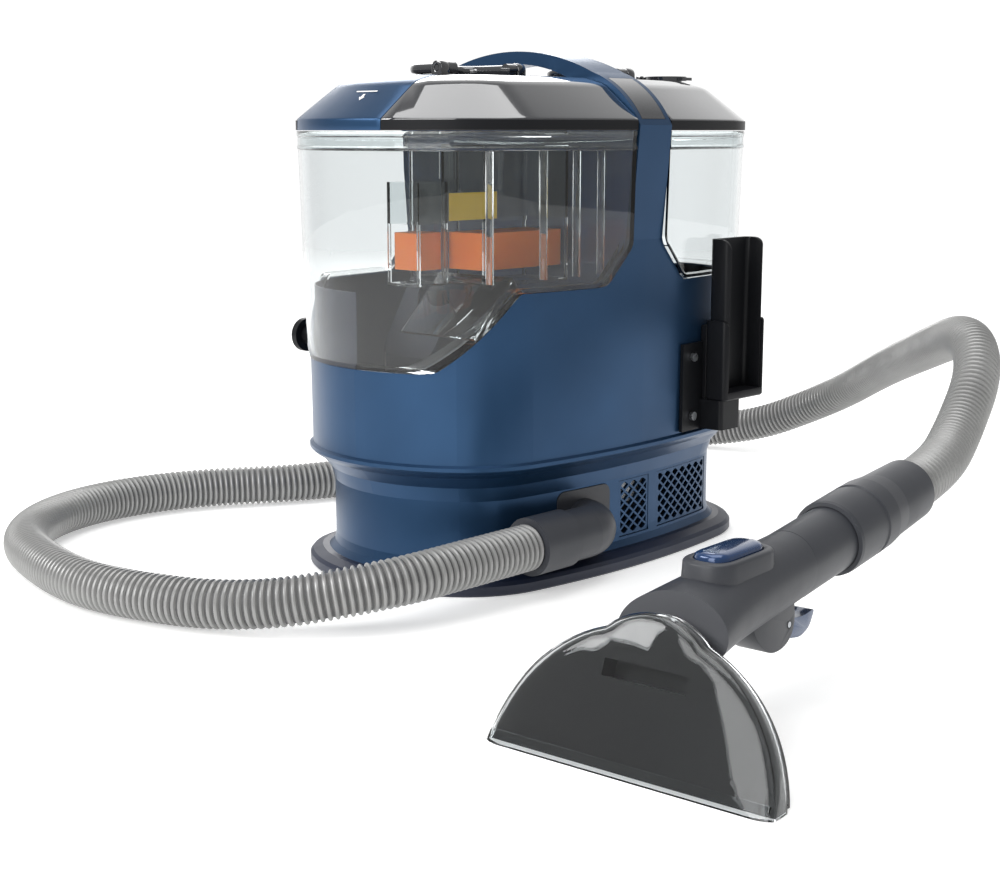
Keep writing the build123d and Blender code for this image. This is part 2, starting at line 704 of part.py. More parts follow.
def float_cage():
    """Open-bottomed clear cage that guides the larger float, held by two ribs."""
    x0, x1, y0, y1 = CAGE
    t = CAGE_WALL
    hood = box_between(x0, x1, y0, y1, 250, CAGE_HIGH)
    hood -= box_between(x0 + t, x1 - t, y0 + t, y1 - t, 249, CAGE_HIGH - t)
    return one(hood + cage_feet(CAGE, 251))


def float_block(x0, x1, y0, y1):
    """Hollow orange float with rounded corners."""
    return one(rounded_post(x0, x1, y0, y1, FLOAT_LOW, FLOAT_HIGH, 4))


SIDE_CAGE = (-146, -118, -30, 0)


def side_cage():
    """Narrow rail cage for the smaller float."""
    x0, x1, y0, y1 = SIDE_CAGE
    t = CAGE_WALL
    sleeve = box_between(x0, x1, y0, y1, 248, 276)
    sleeve -= box_between(x0 + t, x1 - t, y0 + t, y1 - t, 247, 277)
    return one(sleeve + cage_feet(SIDE_CAGE, 249))


def lid_solid(side):
    """Closed outside shape of a lid."""
    return oval_stack(LID_SECTIONS) & half_plan(side, SEAM)


def lid_shell(side):
    """Hollow lid with a lip that drops inside the tank's rim."""
    inner = oval_stack([(RIM - 1, RIM_OFFSET - 2.4), (LID_BAND, RIM_OFFSET - 2.4), (328, -10), (337, -24),
                        (LID_TOP - 2.5, -40)])
    shell = lid_solid(side) - (inner & half_plan(side, SEAM + 2.5))
    lip = oval_stack([(RIM - 6, RIM_OFFSET - TANK_WALL - 0.7), (RIM + 3, RIM_OFFSET - TANK_WALL - 0.4)])
    lip -= oval_stack([(RIM - 7, RIM_OFFSET - TANK_WALL - 2.6), (RIM + 4, RIM_OFFSET - TANK_WALL - 2.2)])
    lip &= half_plan(side, TANK_WALL + SEAM + 1.2)
    return shell + lip


LATCH_HALF = 32.0
LATCH_INNER = -128.0
LATCH_GAP = 0.6
LATCH_EDGE = 1.25
LATCH_HINGE = Vector(LATCH_INNER - LATCH_GAP - LATCH_EDGE, 0, LID_TOP - LATCH_EDGE)


def latch_space(gap):
    """Region of the dirty lid that the blue latch panel fills."""
    return box_between(-260, LATCH_INNER - gap, -LATCH_HALF + gap, LATCH_HALF - gap, RIM, LID_TOP + 5)


def dirty_lid():
    """Smoked lid of the dirty tank, notched for the latch and bossed for its bail."""
    lid = lid_shell(-1) - latch_space(0) + (lid_floor() & half_plan(-1, SEAM))
    for x in DIRTY_BAIL_ENDS:
        lid += bail_boss(x)
    return one(lid)


def lid_floor():
    """Recessed floor and walls under the latch panel."""
    outer = oval_stack([(RIM + 0.4, RIM_OFFSET - 3), (LID_BAND, RIM_OFFSET - 3), (328, -12), (336, -26)])
    tray = outer & box_between(-260, LATCH_INNER + 2, -LATCH_HALF - 2, LATCH_HALF + 2, RIM + 0.4, 340)
    tray -= oval_stack([(RIM - 1, RIM_OFFSET - 5.5), (LID_BAND, RIM_OFFSET - 5.5), (326, -15), (334, -29)])
    return tray + box_between(LATCH_INNER, LATCH_INNER + 2, -LATCH_HALF, LATCH_HALF, 326, LID_TOP - 1)


def latch_panel():
    """Coloured release panel over the end of the dirty lid."""
    outer = oval_stack(LID_SECTIONS) & latch_space(LATCH_GAP)
    inner = oval_stack([(RIM - 1, RIM_OFFSET - 2.2), (LID_BAND, RIM_OFFSET - 2.2), (328, -10.5), (337, -24.5),
                        (LID_TOP - 2.5, -41)])
    half = LATCH_HALF - LATCH_GAP
    barrel = rod((LATCH_HINGE.X, -half, LATCH_HINGE.Z), (LATCH_HINGE.X, half, LATCH_HINGE.Z), LATCH_EDGE)
    edge = box_between(LATCH_HINGE.X, LATCH_INNER + 5, -60, 60, RIM, LID_TOP + 5)
    return one(outer - inner - edge + barrel)


DIRTY_BAIL_ENDS = (-112, -34)
CLEAN_BAIL_ENDS = (34, 92)
BAIL_PIVOT = Vector(0, -18, LID_TOP + 5.2)
BAIL_REACH = 40.0
BAIL_RADIUS = 3.6


def along_bail(x0, x1, radius):
    """Cylinder along the bails' pivot line, from x0 to x1."""
    return rod((x0, BAIL_PIVOT.Y, BAIL_PIVOT.Z), (x1, BAIL_PIVOT.Y, BAIL_PIVOT.Z), radius)


def bail_boss(x):
    """Round boss on the lid with a bore for the bail's pin."""
    boss = along_bail(x - 4, x + 4, 5)
    boss += box_between(x - 4, x + 4, BAIL_PIVOT.Y - 5, BAIL_PIVOT.Y + 5, LID_TOP - 2, BAIL_PIVOT.Z)
    return boss - along_bail(x - 6, x + 6, 2.3)


def bail(ends):
    """Flip-up loop handle, folded flat, with a crowned grip bar."""
    left, right = min(ends) + 4.6, max(ends) - 4.6
    y0, z0 = BAIL_PIVOT.Y, BAIL_PIVOT.Z
    y1 = y0 + BAIL_REACH
    corners = [(left + 4, y0), (left + 4, y1), (right - 4, y1), (right - 4, y0)]
    points = [Vector(x, y, z0) for x, y in corners]
    path = FilletPolyline(*points, radius=12)
    loop = sweep(Plane(origin=points[0], z_dir=Vector(0, 1, 0)) * Circle(BAIL_RADIUS), path=path)
    for x, outward in ((left, -1), (right, 1)):
        loop += along_bail(x, x - outward * 8, 4.4)
        loop += along_bail(x - outward * 2, x + outward * 8.2, 2.0)
    return one(loop)


CAP_AT = (118, -36)
CAP_RADIUS = 16.0
CAP_HINGE = Vector(CAP_AT[0], CAP_AT[1] + CAP_RADIUS + 2.5, LID_TOP + 2.4)


def along_hinge(half, radius):
    """Cylinder along the filler flap's hinge line."""
    return rod(CAP_HINGE - Vector(half, 0, 0), CAP_HINGE + Vector(half, 0, 0), radius)


def clean_lid():
    """Smoked lid of the clean tank with its filler hole, flap ears and bail bosses."""
    lid = lid_shell(1) - Pos(*CAP_AT, LID_TOP) * Cylinder(CAP_RADIUS - 3, 20)
    for x in CLEAN_BAIL_ENDS:
        lid += bail_boss(x)
    x, y = CAP_HINGE.X, CAP_HINGE.Y
    for dx in (-9, 9):
        lid += box_between(x + dx - 2, x + dx + 2, y - 2.4, y + 2.4, LID_TOP - 2, LID_TOP + 4.6)
    return one(lid - along_hinge(20, 1.2))


def fill_cap():
    """Round flap over the filler hole, with a thumb lip and hinge barrel."""
    x, y = CAP_AT
    cap = Pos(x, y, LID_TOP + 2.2) * Cylinder(CAP_RADIUS, 3.4)
    cap += Pos(x, y, LID_TOP - 1.4) * (Cylinder(CAP_RADIUS - 3.6, 4.4) - Cylinder(CAP_RADIUS - 5.6, 6))
    cap += box_between(x - 6, x + 6, y - CAP_RADIUS - 4, y - CAP_RADIUS + 3, LID_TOP + 0.8, LID_TOP + 3)
    cap += box_between(x - 6.4, x + 6.4, y + CAP_RADIUS - 3, CAP_HINGE.Y, LID_TOP + 0.8, LID_TOP + 3.4)
    cap += along_hinge(6.4, 1.7)
    return one(cap - along_hinge(20, 0.9))


def cap_pin():
    """Steel pin of the filler flap."""
    return along_hinge(11, 0.8)


def tank_valve():
    """Spring valve cup under the clean tank, hanging into the deck."""
    low = DECK_BOTTOM - 2
    cup = Pos(*VALVE_AT, (low + TANK_BOTTOM) / 2) * Cylinder(10, TANK_BOTTOM - low)
    cup += Pos(*VALVE_AT, TANK_BOTTOM + 6) * Cylinder(6.6, 16)
    return one(cup - Pos(*VALVE_AT, low) * Cylinder(4, 14))


# ---------------------------------------------------------------------------
# Hand tool, drawn in its own frame and then set down in front of the machine
# ---------------------------------------------------------------------------
FACE_NORMAL = (-sin(radians(FACE_TILT)), 0, cos(radians(FACE_TILT)))
FACE_PLANE = Plane(origin=(0, 0, 0), x_dir=(0, -1, 0), z_dir=FACE_NORMAL)
FLOOR_GAP = 0.3


def set_down(shape):
    """Move a piece from the tool's frame to its place on the floor."""
    return Pos(*TOOL_AT) * Rot(0, 0, TOOL_HEADING) * shape


def face_outline(inset, drop=0.0):
    """Arched outline of the nozzle's face, moved in by inset and extended down by drop."""
    half = LIP_WIDTH / 2 - inset
    top = FACE_HEIGHT - inset
    shoulder = (half * 0.33, top * 0.865)
    bulge = (half * 0.82, top * 0.49)
    edges = []
    if drop:
        edges.append(Edge.make_line(Vector(half, -drop), Vector(half, 0)))
    arcs = [((half, 0), bulge, shoulder),
            (shoulder, (0, top), (-shoulder[0], shoulder[1])),
            ((-shoulder[0], shoulder[1]), (-bulge[0], bulge[1]), (-half, 0))]
    for arc in arcs:
        edges.append(Edge.make_three_point_arc(*[Vector(*point) for point in arc]))
    if drop:
        edges.append(Edge.make_line(Vector(-half, 0), Vector(-half, -drop)))
        edges.append(Edge.make_line(Vector(-half, -drop), Vector(half, -drop)))
    else:
        edges.append(Edge.make_line(Vector(-half, 0), Vector(half, 0)))
    return Face(Wire(edges))


def face_slab(inset, front, back, drop=0.0):
    """Slab parallel to the face, from depth front to depth back behind it."""
    face = FACE_PLANE.offset(-front) * face_outline(inset, drop)
    return Solid.extrude(face, FACE_PLANE.z_dir * -(back - front))


def above_floor(shape):
    """Trim a tool piece just above the floor."""
    return shape & box_between(-60, 400, -200, 200, FLOOR_GAP, 300)


def nozzle_body():
    """Charcoal nozzle behind the clear cover, with its suction mouth and the flare to the neck."""
    body = face_slab(2.4, CHANNEL_DEPTH + 0.3, NOZZLE_DEPTH, 14)
    body -= FACE_PLANE.offset(-CHANNEL_DEPTH + 1) * Pos(0, 52, -6) * Box(50, 9, 14)
    body -= box_between(15.5, 24.5, -66.5, 66.5, 0, 14.2)
    return one(above_floor(body))


def neck_section(u, z, half_width, half_height):
    """Elliptical section of the neck."""
    return Plane(origin=(u, 0, z), x_dir=(0, 1, 0), z_dir=(1, 0, 0)) * Ellipse(half_width, half_height)


def neck_loft():
    """Solid that gathers the width of the nozzle into the round handle."""
    sections = [(30, 62, 38, 15), (62, 66, 29, 19), (104, 70, 22.5, 20.5),
                (HANDLE_START.X, HANDLE_START.Z, HANDLE_RADIUS, HANDLE_RADIUS)]
    return loft([neck_section(*section) for section in sections])


def tool_neck():
    """Neck behind the nozzle, with the well of the release button."""
    body = neck_loft() - face_slab(-40, -60, NOZZLE_DEPTH + 0.05, 60)
    return one(body - button_pocket(0.5))


def button_pocket(gap):
    """Well in the neck under the release button."""
    return Pos(98, 0, 92) * Box(50 + 2 * gap, 22 + 2 * gap, 12 + 2 * gap)


def button_surround():
    """Raised collar on the neck round the release button."""
    collar = rounded_post(70, 128, -15, 15, 82, 94.5, 6) - rounded_post(75.5, 122.5, -10.5, 10.5, 81, 96, 4)
    return one(collar - neck_loft() - button_pocket(0.5))


def release_button():
    """Coloured button that frees the nozzle cover."""
    button = rounded_post(76, 122, -10, 10, 88, 96, 3.8)
    crown = Pos(99, 0, 96 - 60 + 2.2) * Rot(90, 0, 0) * Cylinder(60, 20)
    return one(button + (crown & rounded_post(76, 122, -10, 10, 95, 99, 3.8)))


def handle_axis(distance):
    """Point on the handle's axis, that far along u."""
    slope = (HANDLE_END.Z - HANDLE_START.Z) / (HANDLE_END.X - HANDLE_START.X)
    return Vector(distance, 0, HANDLE_START.Z + (distance - HANDLE_START.X) * slope)


def handle_tube():
    """Round handle from the neck to the swivel cuff, hollow for the hose."""
    tube = rod(handle_axis(152), handle_axis(236), HANDLE_RADIUS)
    tube -= rod(handle_axis(150), handle_axis(240), HANDLE_RADIUS - 3)
    return one(tube & box_between(HANDLE_START.X, 400, -200, 200, 0, 300))


def swivel_cuff():
    """Turning cuff over the end of the handle, stepped down to the hose."""
    axis = (handle_axis(300) - handle_axis(200)).normalized()
    plane = Plane(origin=handle_axis(206), z_dir=axis, x_dir=(0, 1, 0))
    end = (HANDLE_END - handle_axis(206)).length - 0.35
    bore = HANDLE_RADIUS + 0.4
    profile = [(bore, 0), (22, 0.5), (22.4, 3), (22.4, 30), (21.6, 31), (21.6, 34), (22.4, 35), (22.2, 48),
               (20.6, 62), (19.4, end), (13, end), (13, 34), (bore, 32)]
    face = Face(Wire.make_polygon([Vector(r, 0, z) for r, z in profile], close=True))
    ring = Solid.revolve(face, 360, Axis.Z)
    return one(plane.location * ring)


TRIGGER_PIVOT = Vector(148, 0, 46)


def along_pivot(half, radius):
    """Cylinder along the trigger's pivot line."""
    return rod(TRIGGER_PIVOT - Vector(0, half, 0), TRIGGER_PIVOT + Vector(0, half, 0), radius)


def trigger_lug():
    """Black lug under the neck that carries the trigger's pin."""
    lug = rounded_post(126, 142, -8, 8, 34, 60, 3)
    for side in (-1, 1):
        lug += box_between(138, 152, side * 8 - 1.7, side * 8 + 1.7, 41, 60)
    return one(lug - along_pivot(12, 2.0) - neck_loft())


def spray_trigger():
    """Finger trigger that swings up towards the handle."""
    points = [(143.6, 44), (145, 37), (168, 33.5), (178, 37), (184, 47), (172, 45.2), (160, 46), (152, 50.5),
              (145, 50.5)]
    profile = Face(Wire.make_polygon([Vector(x, -5.6, z) for x, z in points], close=True))
    body = Solid.extrude(profile, Vector(0, 11.2, 0))
    return one(body - along_pivot(12, 2.0))


def trigger_pin():
    """Steel pin of the trigger."""
    return along_pivot(9.8, 1.7)


def nozzle_cover():
    """Clear front cover with side walls, open along the lip."""
    outer = face_slab(0, 0, CHANNEL_DEPTH + 9)
    inner = face_slab(COVER_WALL, COVER_WALL, CHANNEL_DEPTH + 20, 30)
    return one(above_floor(outer - inner))


def lip_strip():
    """Clear double lip along the floor edge of the cover."""
    half = LIP_WIDTH / 2 - 4
    strip = FACE_PLANE.offset(-COVER_WALL - 0.02) * Pos(0, 5.4, -1.2) * Box(2 * half, 5, 2.4)
    return one(above_floor(strip))


def spray_jet():
    """Spray nozzle tucked under the neck."""
    body = rod((46, 0, 38), (60, 0, 47), 5) + rod((40, 0, 34.2), (47, 0, 38.6), 3)
    return one(body - neck_loft())


def brush_strip():
    """Row of bristle tufts behind the suction mouth."""
    bar = box_between(16, 24, -66, 66, 10, 14)
    for index in range(12):
        y = -60.5 + index * 11
        bar += rod((20, y, 12), (20, y, 1.2), 2.6)
    return one(bar)


# ---------------------------------------------------------------------------
# Build and write
# ---------------------------------------------------------------------------
def build():
    """Make every node."""
    for maker in (base_plate, foot_pads, lower_housing, tub_shell, deck, spine, carry_handle, strap_pad,
                  suction_motor, motor_cradle, fan_housing, fan_impeller, air_duct, dock_collar,
                  water_pump, control_board, port_plate, hose_elbow, hose_sleeve, suction_hose,
                  holster_cup, holster_plate, holster_screws, cord_posts, cord_gland, switch_bezel,
                  power_rocker, dirty_tank_shell, separator_tower, riser_duct, float_cage, side_cage,
                  dirty_lid, latch_panel, clean_tank_shell, tank_valve, clean_lid, fill_cap, cap_pin):
        keep(maker.__name__, maker())
    for name, (x0, x1) in zip(("vent_grille_small", "vent_grille_large"), VENT_GROUPS):
        keep(name, vent_grille(x0, x1))
    x0, x1, y0, y1 = CAGE
    keep("main_float", float_block(x0 + 2.4, x1 - 2.4, y0 + 2.4, y1 - 2.4))
    x0, x1, y0, y1 = SIDE_CAGE
    keep("side_float", float_block(x0 + 2.2, x1 - 2.2, y0 + 2.2, y1 - 2.2))
    keep("dirty_bail", bail(DIRTY_BAIL_ENDS))
    keep("clean_bail", bail(CLEAN_BAIL_ENDS))
    for maker in (nozzle_body, tool_neck, button_surround, release_button, handle_tube, swivel_cuff,
                  trigger_lug, spray_trigger, trigger_pin, nozzle_cover, lip_strip, spray_jet, brush_strip):
        keep(maker.__name__, set_down(maker()))


build()
for name, shape in NODES.items():
    shape.label = name
    export_step(shape, f"parts/{name}.step")
    print(name, len(shape.solids()), round(shape.volume))
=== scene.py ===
"""Looks of a portable carpet and upholstery spot cleaner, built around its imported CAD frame.

Metres, in the CAD's own frame: X along the machine, Y front to back, Z up, origin under the middle
of the foot plate. Every piece is made by one operator and rides on the CAD body that it belongs to.
"""
from math import atan2, cos, exp, pi, radians, sin, sqrt

import bmesh
import bpy
from bpy.props import FloatProperty, FloatVectorProperty, IntProperty
from mathutils import Matrix, Vector


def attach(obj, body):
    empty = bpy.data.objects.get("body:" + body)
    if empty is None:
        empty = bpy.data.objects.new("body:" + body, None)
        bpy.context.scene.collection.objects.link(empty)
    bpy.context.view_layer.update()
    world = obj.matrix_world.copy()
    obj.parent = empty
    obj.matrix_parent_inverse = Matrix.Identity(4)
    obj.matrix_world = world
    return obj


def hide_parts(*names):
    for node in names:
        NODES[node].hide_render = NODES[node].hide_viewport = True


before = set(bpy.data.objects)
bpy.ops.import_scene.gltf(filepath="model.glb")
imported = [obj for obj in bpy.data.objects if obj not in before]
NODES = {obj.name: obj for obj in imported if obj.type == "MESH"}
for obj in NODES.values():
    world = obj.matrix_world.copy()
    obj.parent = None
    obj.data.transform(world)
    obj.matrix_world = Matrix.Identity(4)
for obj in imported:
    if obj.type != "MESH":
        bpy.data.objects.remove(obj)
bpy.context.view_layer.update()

bl_info = {
    "name": "Spot Cleaner Looks",
    "version": (1, 0, 0),
    "blender": (4, 5, 0),
    "location": "3D Viewport > Sidebar > Spot Cleaner",
    "description": "Builds the hose, tanks, lids, trim and finishes of a portable spot cleaner",
    "category": "Object",
}

MM = 0.001

# Plan outline of the machine, in millimetres, as in the CAD.
HALF_LENGTH = 181.0
HALF_DEPTH = 111.0
SIDE_RADIUS = 650.0
END_RADIUS = 120.0
CORNER_RADIUS = 76.0


# ---------------------------------------------------------------------------
# Colour and properties
# ---------------------------------------------------------------------------
def linear(hex_value):
    """sRGB hex to a linear RGBA colour."""
    channels = [int(hex_value[i:i + 2], 16) / 255 for i in (0, 2, 4)]
    return [c / 12.92 if c <= 0.04045 else ((c + 0.055) / 1.055) ** 2.4 for c in channels] + [1.0]


def colour(name, description, hex_value):
    """A colour that a user can change."""
    return FloatVectorProperty(name=name, description=description, subtype="COLOR", size=4, min=0, max=1,
                               default=linear(hex_value))


def length(name, description, millimetres):
    """A length that a user can change."""
    return FloatProperty(name=name, description=description, default=millimetres * MM, min=0, unit="LENGTH")


class CleanerColours(bpy.types.PropertyGroup):
    """Colours of the mouldings, tanks and hose."""
    blue: colour("Body blue", "Pearl pigment of the main mouldings", "2a4c70")
    blue_dark: colour("Body blue, shade", "The same pigment where the flake lies flat", "203e5e")
    control: colour("Control blue", "Gloss blue of the button and trigger", "1d3c70")
    charcoal: colour("Charcoal", "Hand tool, elbow and port plate", "3b3d42")
    black: colour("Black", "Holster and lead posts", "17181b")
    grey: colour("Grey moulding", "Rocker and inner mouldings", "6e7378")
    inner: colour("Inner dark", "Works behind the grilles and inside the tank", "22262e")
    hose: colour("Hose grey", "Flexible vinyl of the hose", "9b9b9a")
    smoke: colour("Smoked lid", "Tint of the lids", "2c2e33")
    clear: colour("Clear tank", "Tint of the tank walls", "f1f5f6")
    orange: colour("Float orange", "Foam of the two floats", "ef8130")
    rubber: colour("Rubber", "Seals and foot pads", "1b1b1c")
    steel: colour("Steel", "Screws and pins", "b9bcc0")
    board: colour("Circuit board", "Solder mask of the board", "1d5a3a")
    label: colour("Label yellow", "Blank label in the tank", "d8b63c")
    floor: colour("Floor", "Studio floor", "f2f2f1")


class CleanerSizes(bpy.types.PropertyGroup):
    """Sizes of the pieces that are made here."""
    hose_diameter: length("Hose diameter", "Outside diameter over the ribs", 32)
    hose_length: length("Hose length", "Length from the sleeve to the cuff", 2062)
    rib_pitch: length("Rib pitch", "From one hose rib to the next", 4.7)
    rib_depth: length("Rib depth", "How far a groove lies under the ribs", 2.0)
    hose_sides: IntProperty(name="Hose sides", description="Points round the hose", default=28, min=8)
    lens: FloatProperty(name="Lens", description="Focal length on a 36 mm sensor", default=60.48, min=1)


def colours():
    return bpy.context.scene.cleaner_colours


def sizes():
    return bpy.context.scene.cleaner_sizes


# ---------------------------------------------------------------------------
# Material helpers
# ---------------------------------------------------------------------------
def add(tree, kind, inputs=None, **settings):
    """Add a shader node with its settings; each input is a value or the socket that feeds it."""
    made = tree.nodes.new(kind)
    for name, value in settings.items():
        setattr(made, name, value)
    for key, value in (inputs or {}).items():
        if isinstance(value, bpy.types.NodeSocket):
            tree.links.new(value, made.inputs[key])
        else:
            made.inputs[key].default_value = value
    return made


def blank(name):
    """An empty node material, and the object coordinates in metres."""
    material = bpy.data.materials.new(name)
    material.use_nodes = True
    material.node_tree.nodes.clear()
    place = add(material.node_tree, "ShaderNodeTexCoord").outputs["Object"]
    return material, material.node_tree, place


def per(millimetres):
    """Noise scale whose features are that many millimetres apart."""
    return 1000.0 / millimetres


def moulded(name, tone, shade, patch, grain, depth, rough, **values):
    """A moulding: two close tones in patches, a fine spark-eroded grain, and roughness that wanders.

    patch and grain are in millimetres, depth is the grain's height in millimetres, and rough is
    (lowest, highest).
    """
    material, tree, place = blank(name)
    clouds = add(tree, "ShaderNodeTexNoise", {"Vector": place, "Scale": per(patch), "Detail": 4.0})
    fine = add(tree, "ShaderNodeTexNoise", {"Vector": place, "Scale": per(grain), "Detail": 2.0})
    tint = add(tree, "ShaderNodeMix", {0: clouds.outputs["Fac"], 6: tone, 7: shade}, data_type="RGBA")
    rub = add(tree, "ShaderNodeMapRange", {"Value": clouds.outputs["Fac"], "From Min": 0.3, "From Max": 0.7,
                                           "To Min": rough[0], "To Max": rough[1]})
    inputs = {"Base Color": tint.outputs[2], "Roughness": rub.outputs["Result"]}
    if depth:
        bump = add(tree, "ShaderNodeBump", {"Height": fine.outputs["Fac"], "Strength": 0.6, "Distance": depth * MM})
        inputs["Normal"] = bump.outputs["Normal"]
    inputs.update({key.replace("_", " "): value for key, value in values.items()})
    shader = add(tree, "ShaderNodeBsdfPrincipled", inputs)
    add(tree, "ShaderNodeOutputMaterial", {"Surface": shader.outputs["BSDF"]})
    return material


def pearl_abs():
    """ABS moulded with pearl pigment: a satin metallic blue that rolls from bright to deep round a corner."""
    c = colours()
    return moulded("pearl_abs_moulded", c.blue[:], c.blue_dark[:], 60, 0.6, 0.012, (0.30, 0.38),
                   Metallic=0.7, Coat_Weight=0.08, Coat_Roughness=0.25)


def gloss_abs():
    """Polished-tool ABS: a hard deep blue shine on the parts that are pressed."""
    c = colours()
    return moulded("gloss_abs_polished", c.control[:], c.blue_dark[:], 30, 0.9, 0.004, (0.12, 0.2),
                   Metallic=0.3, Coat_Weight=0.6, Coat_Roughness=0.06)


def textured_pp():
    """Polypropylene from a spark-eroded tool: charcoal with a soft wide highlight and a fine tooth."""
    c = colours()
    return moulded("polypropylene_textured", c.charcoal[:], linear("303238"), 45, 0.8, 0.03, (0.38, 0.5),
                   IOR=1.49)


def black_abs():
    """Black ABS, semi-gloss: near-black planes with clean edge highlights."""
    c = colours()
    return moulded("black_abs_moulded", c.black[:], linear("101114"), 50, 0.8, 0.018, (0.34, 0.46), IOR=1.53,
                   Specular_IOR_Level=0.18)


def grey_abs():
    """Plain grey ABS, as moulded: even, slightly dusty mid grey."""
    c = colours()
    return moulded("grey_abs_moulded", c.grey[:], linear("61666c"), 40, 0.8, 0.02, (0.4, 0.5), IOR=1.53)


def glass_filled_nylon():
    """Dark glass-filled nylon of the works: dull and faintly streaked."""
    c = colours()
    return moulded("glass_filled_nylon", c.inner[:], linear("1a1d24"), 25, 0.5, 0.04, (0.5, 0.65))


def nitrile_rubber():
    """Moulded rubber: flat black that takes almost no highlight."""
    c = colours()
    return moulded("nitrile_rubber_moulded", c.rubber[:], linear("252526"), 20, 0.7, 0.03, (0.65, 0.8), IOR=1.52)


def foamed_float():
    """Closed-cell foamed polyethylene: warm orange with a fine pitted skin."""
    c = colours()
    return moulded("polyethylene_foam_float", c.orange[:], linear("e2722a"), 18, 1.2, 0.05, (0.45, 0.6),
                   Subsurface_Weight=0.15, Subsurface_Scale=0.004)


def turned_steel():
    """Zinc-plated steel, turned: bright grey metal with fine rings."""
    c = colours()
    return moulded("steel_zinc_plated", c.steel[:], linear("a3a7ac"), 6, 0.4, 0.01, (0.22, 0.36), Metallic=1.0)


def solder_mask():
    """Glass-epoxy board under solder mask: green with a wet gloss."""
    c = colours()
    return moulded("glass_epoxy_board", c.board[:], linear("17492f"), 8, 0.5, 0.02, (0.25, 0.4), IOR=1.55)


def soft_vinyl():
    """Extruded vinyl hose: light silver grey, satin, a touch dirtier in patches."""
    c = colours()
    return moulded("vinyl_extruded", c.hose[:], linear("8f8f8e"), 35, 0.9, 0.02, (0.3, 0.42), IOR=1.54,
                   Metallic=0.35)


def painted_groove_shade_vinyl():
    """The same vinyl down in the grooves, with painted shade: a darker, duller grey that draws each rib."""
    return moulded("vinyl_groove_painted_shade", linear("5a5a5b"), linear("4c4c4d"), 35, 0.9, 0.02, (0.5, 0.6), IOR=1.54)


def clear_acrylic():
    """Clear styrene-acrylonitrile, polished mould: sharp reflections over a faintly cool wall."""
    c = colours()
    return moulded("styrene_acrylonitrile_clear", c.clear[:], linear("f6f8f8"), 120, 60, 0.0, (0.0, 0.02),
                   IOR=1.4, Transmission_Weight=1.0)


def smoked_acrylic():
    """Smoked acrylic lid: dark grey glass with a mirror-like skin."""
    c = colours()
    return moulded("acrylic_smoked", c.smoke[:], linear("26282d"), 90, 30, 0.04, (0.05, 0.1),
                   IOR=1.6, Transmission_Weight=0.2, Coat_Weight=1.0, Coat_Roughness=0.03, Coat_IOR=1.7)


def clear_pc():
    """Clear polycarbonate nozzle cover: hard bright edges and a slight grey tint."""
    return moulded("polycarbonate_clear", linear("f2f4f5"), linear("e9edee"), 90, 60, 0.0, (0.0, 0.03),
                   IOR=1.42, Transmission_Weight=1.0)


def navy_abs():
    """Plain deep navy ABS of the inner walls: no flake, a dull sheen seen through the clear tanks."""
    return moulded("navy_abs_moulded", linear("17213a"), linear("131b2f"), 40, 0.8, 0.02, (0.4, 0.5), IOR=1.53)


def plain_blue_abs():
    """Blue ABS without pearl, on the spine between the tanks: an even, milky blue through the clear walls."""
    return moulded("blue_abs_plain", linear("40588a"), linear("384e7b"), 40, 0.8, 0.02, (0.4, 0.5), IOR=1.53)


def dark_nozzle_abs():
    """Near-black ABS behind the clear nozzle cover, smooth enough to hold a soft highlight."""
    return moulded("black_abs_smooth", linear("262627"), linear("1d1d1e"), 40, 0.9, 0.01, (0.3, 0.4),
                   IOR=1.5, Specular_IOR_Level=0.4)


def white_print():
    """Pad-printed white ink: flat and slightly dusty."""
    return moulded("ink_pad_printed", linear("f1f1ef"), linear("e2e2e0"), 6, 0.5, 0.01, (0.5, 0.6))


def paper_label():
    """Coated yellow paper label: even colour with faint fibres."""
    c = colours()
    return moulded("paper_label_coated", c.label[:], linear("cdaa33"), 9, 0.4, 0.02, (0.45, 0.6))


SLOT_FINISHES = {
    "blue_body": pearl_abs, "seal_rubber": nitrile_rubber, "dark_inner": glass_filled_nylon,
    "steel": turned_steel, "circuit_board": solder_mask, "grey_moulding": grey_abs,
    "charcoal_moulding": textured_pp, "black_moulding": black_abs, "hose_grey": soft_vinyl,
    "smoked_lid": smoked_acrylic, "clear_tank": clear_acrylic, "float_orange": foamed_float,
    "control_blue": gloss_abs,
}
MADE = {}


def finish(maker):
    """The material of a maker function, made once."""
    if maker.__name__ not in MADE:
        MADE[maker.__name__] = maker()
    return MADE[maker.__name__]


# ---------------------------------------------------------------------------
# Mesh helpers
# ---------------------------------------------------------------------------
def piece(name, mesh, body, maker, replaces=()):
    """Turn a bmesh into a finished piece that rides on a body."""
    bmesh.ops.recalc_face_normals(mesh, faces=mesh.faces)
    data = bpy.data.meshes.new(name)
    mesh.to_mesh(data)
    mesh.free()
    data.materials.append(finish(maker))
    made = bpy.data.objects.new(name, data)
    bpy.context.collection.objects.link(made)
    data.shade_smooth()
    data.set_sharp_from_angle(angle=radians(38))
    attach(made, body)
    if replaces:
        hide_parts(*replaces)
    return made


def skin(mesh, rings, closed=True, caps=True):
    """Quads between rings with the same number of points, with both ends capped unless caps is off."""
    made = [[mesh.verts.new(p) for p in ring] for ring in rings]
    for low, high in zip(made, made[1:]):
        count = len(low)
        for i in range(count if closed else count - 1):
            j = (i + 1) % count
            mesh.faces.new((low[i], low[j], high[j], high[i]))
    if caps:
        mesh.faces.new(list(reversed(made[0])))
        mesh.faces.new(made[-1])
    return made


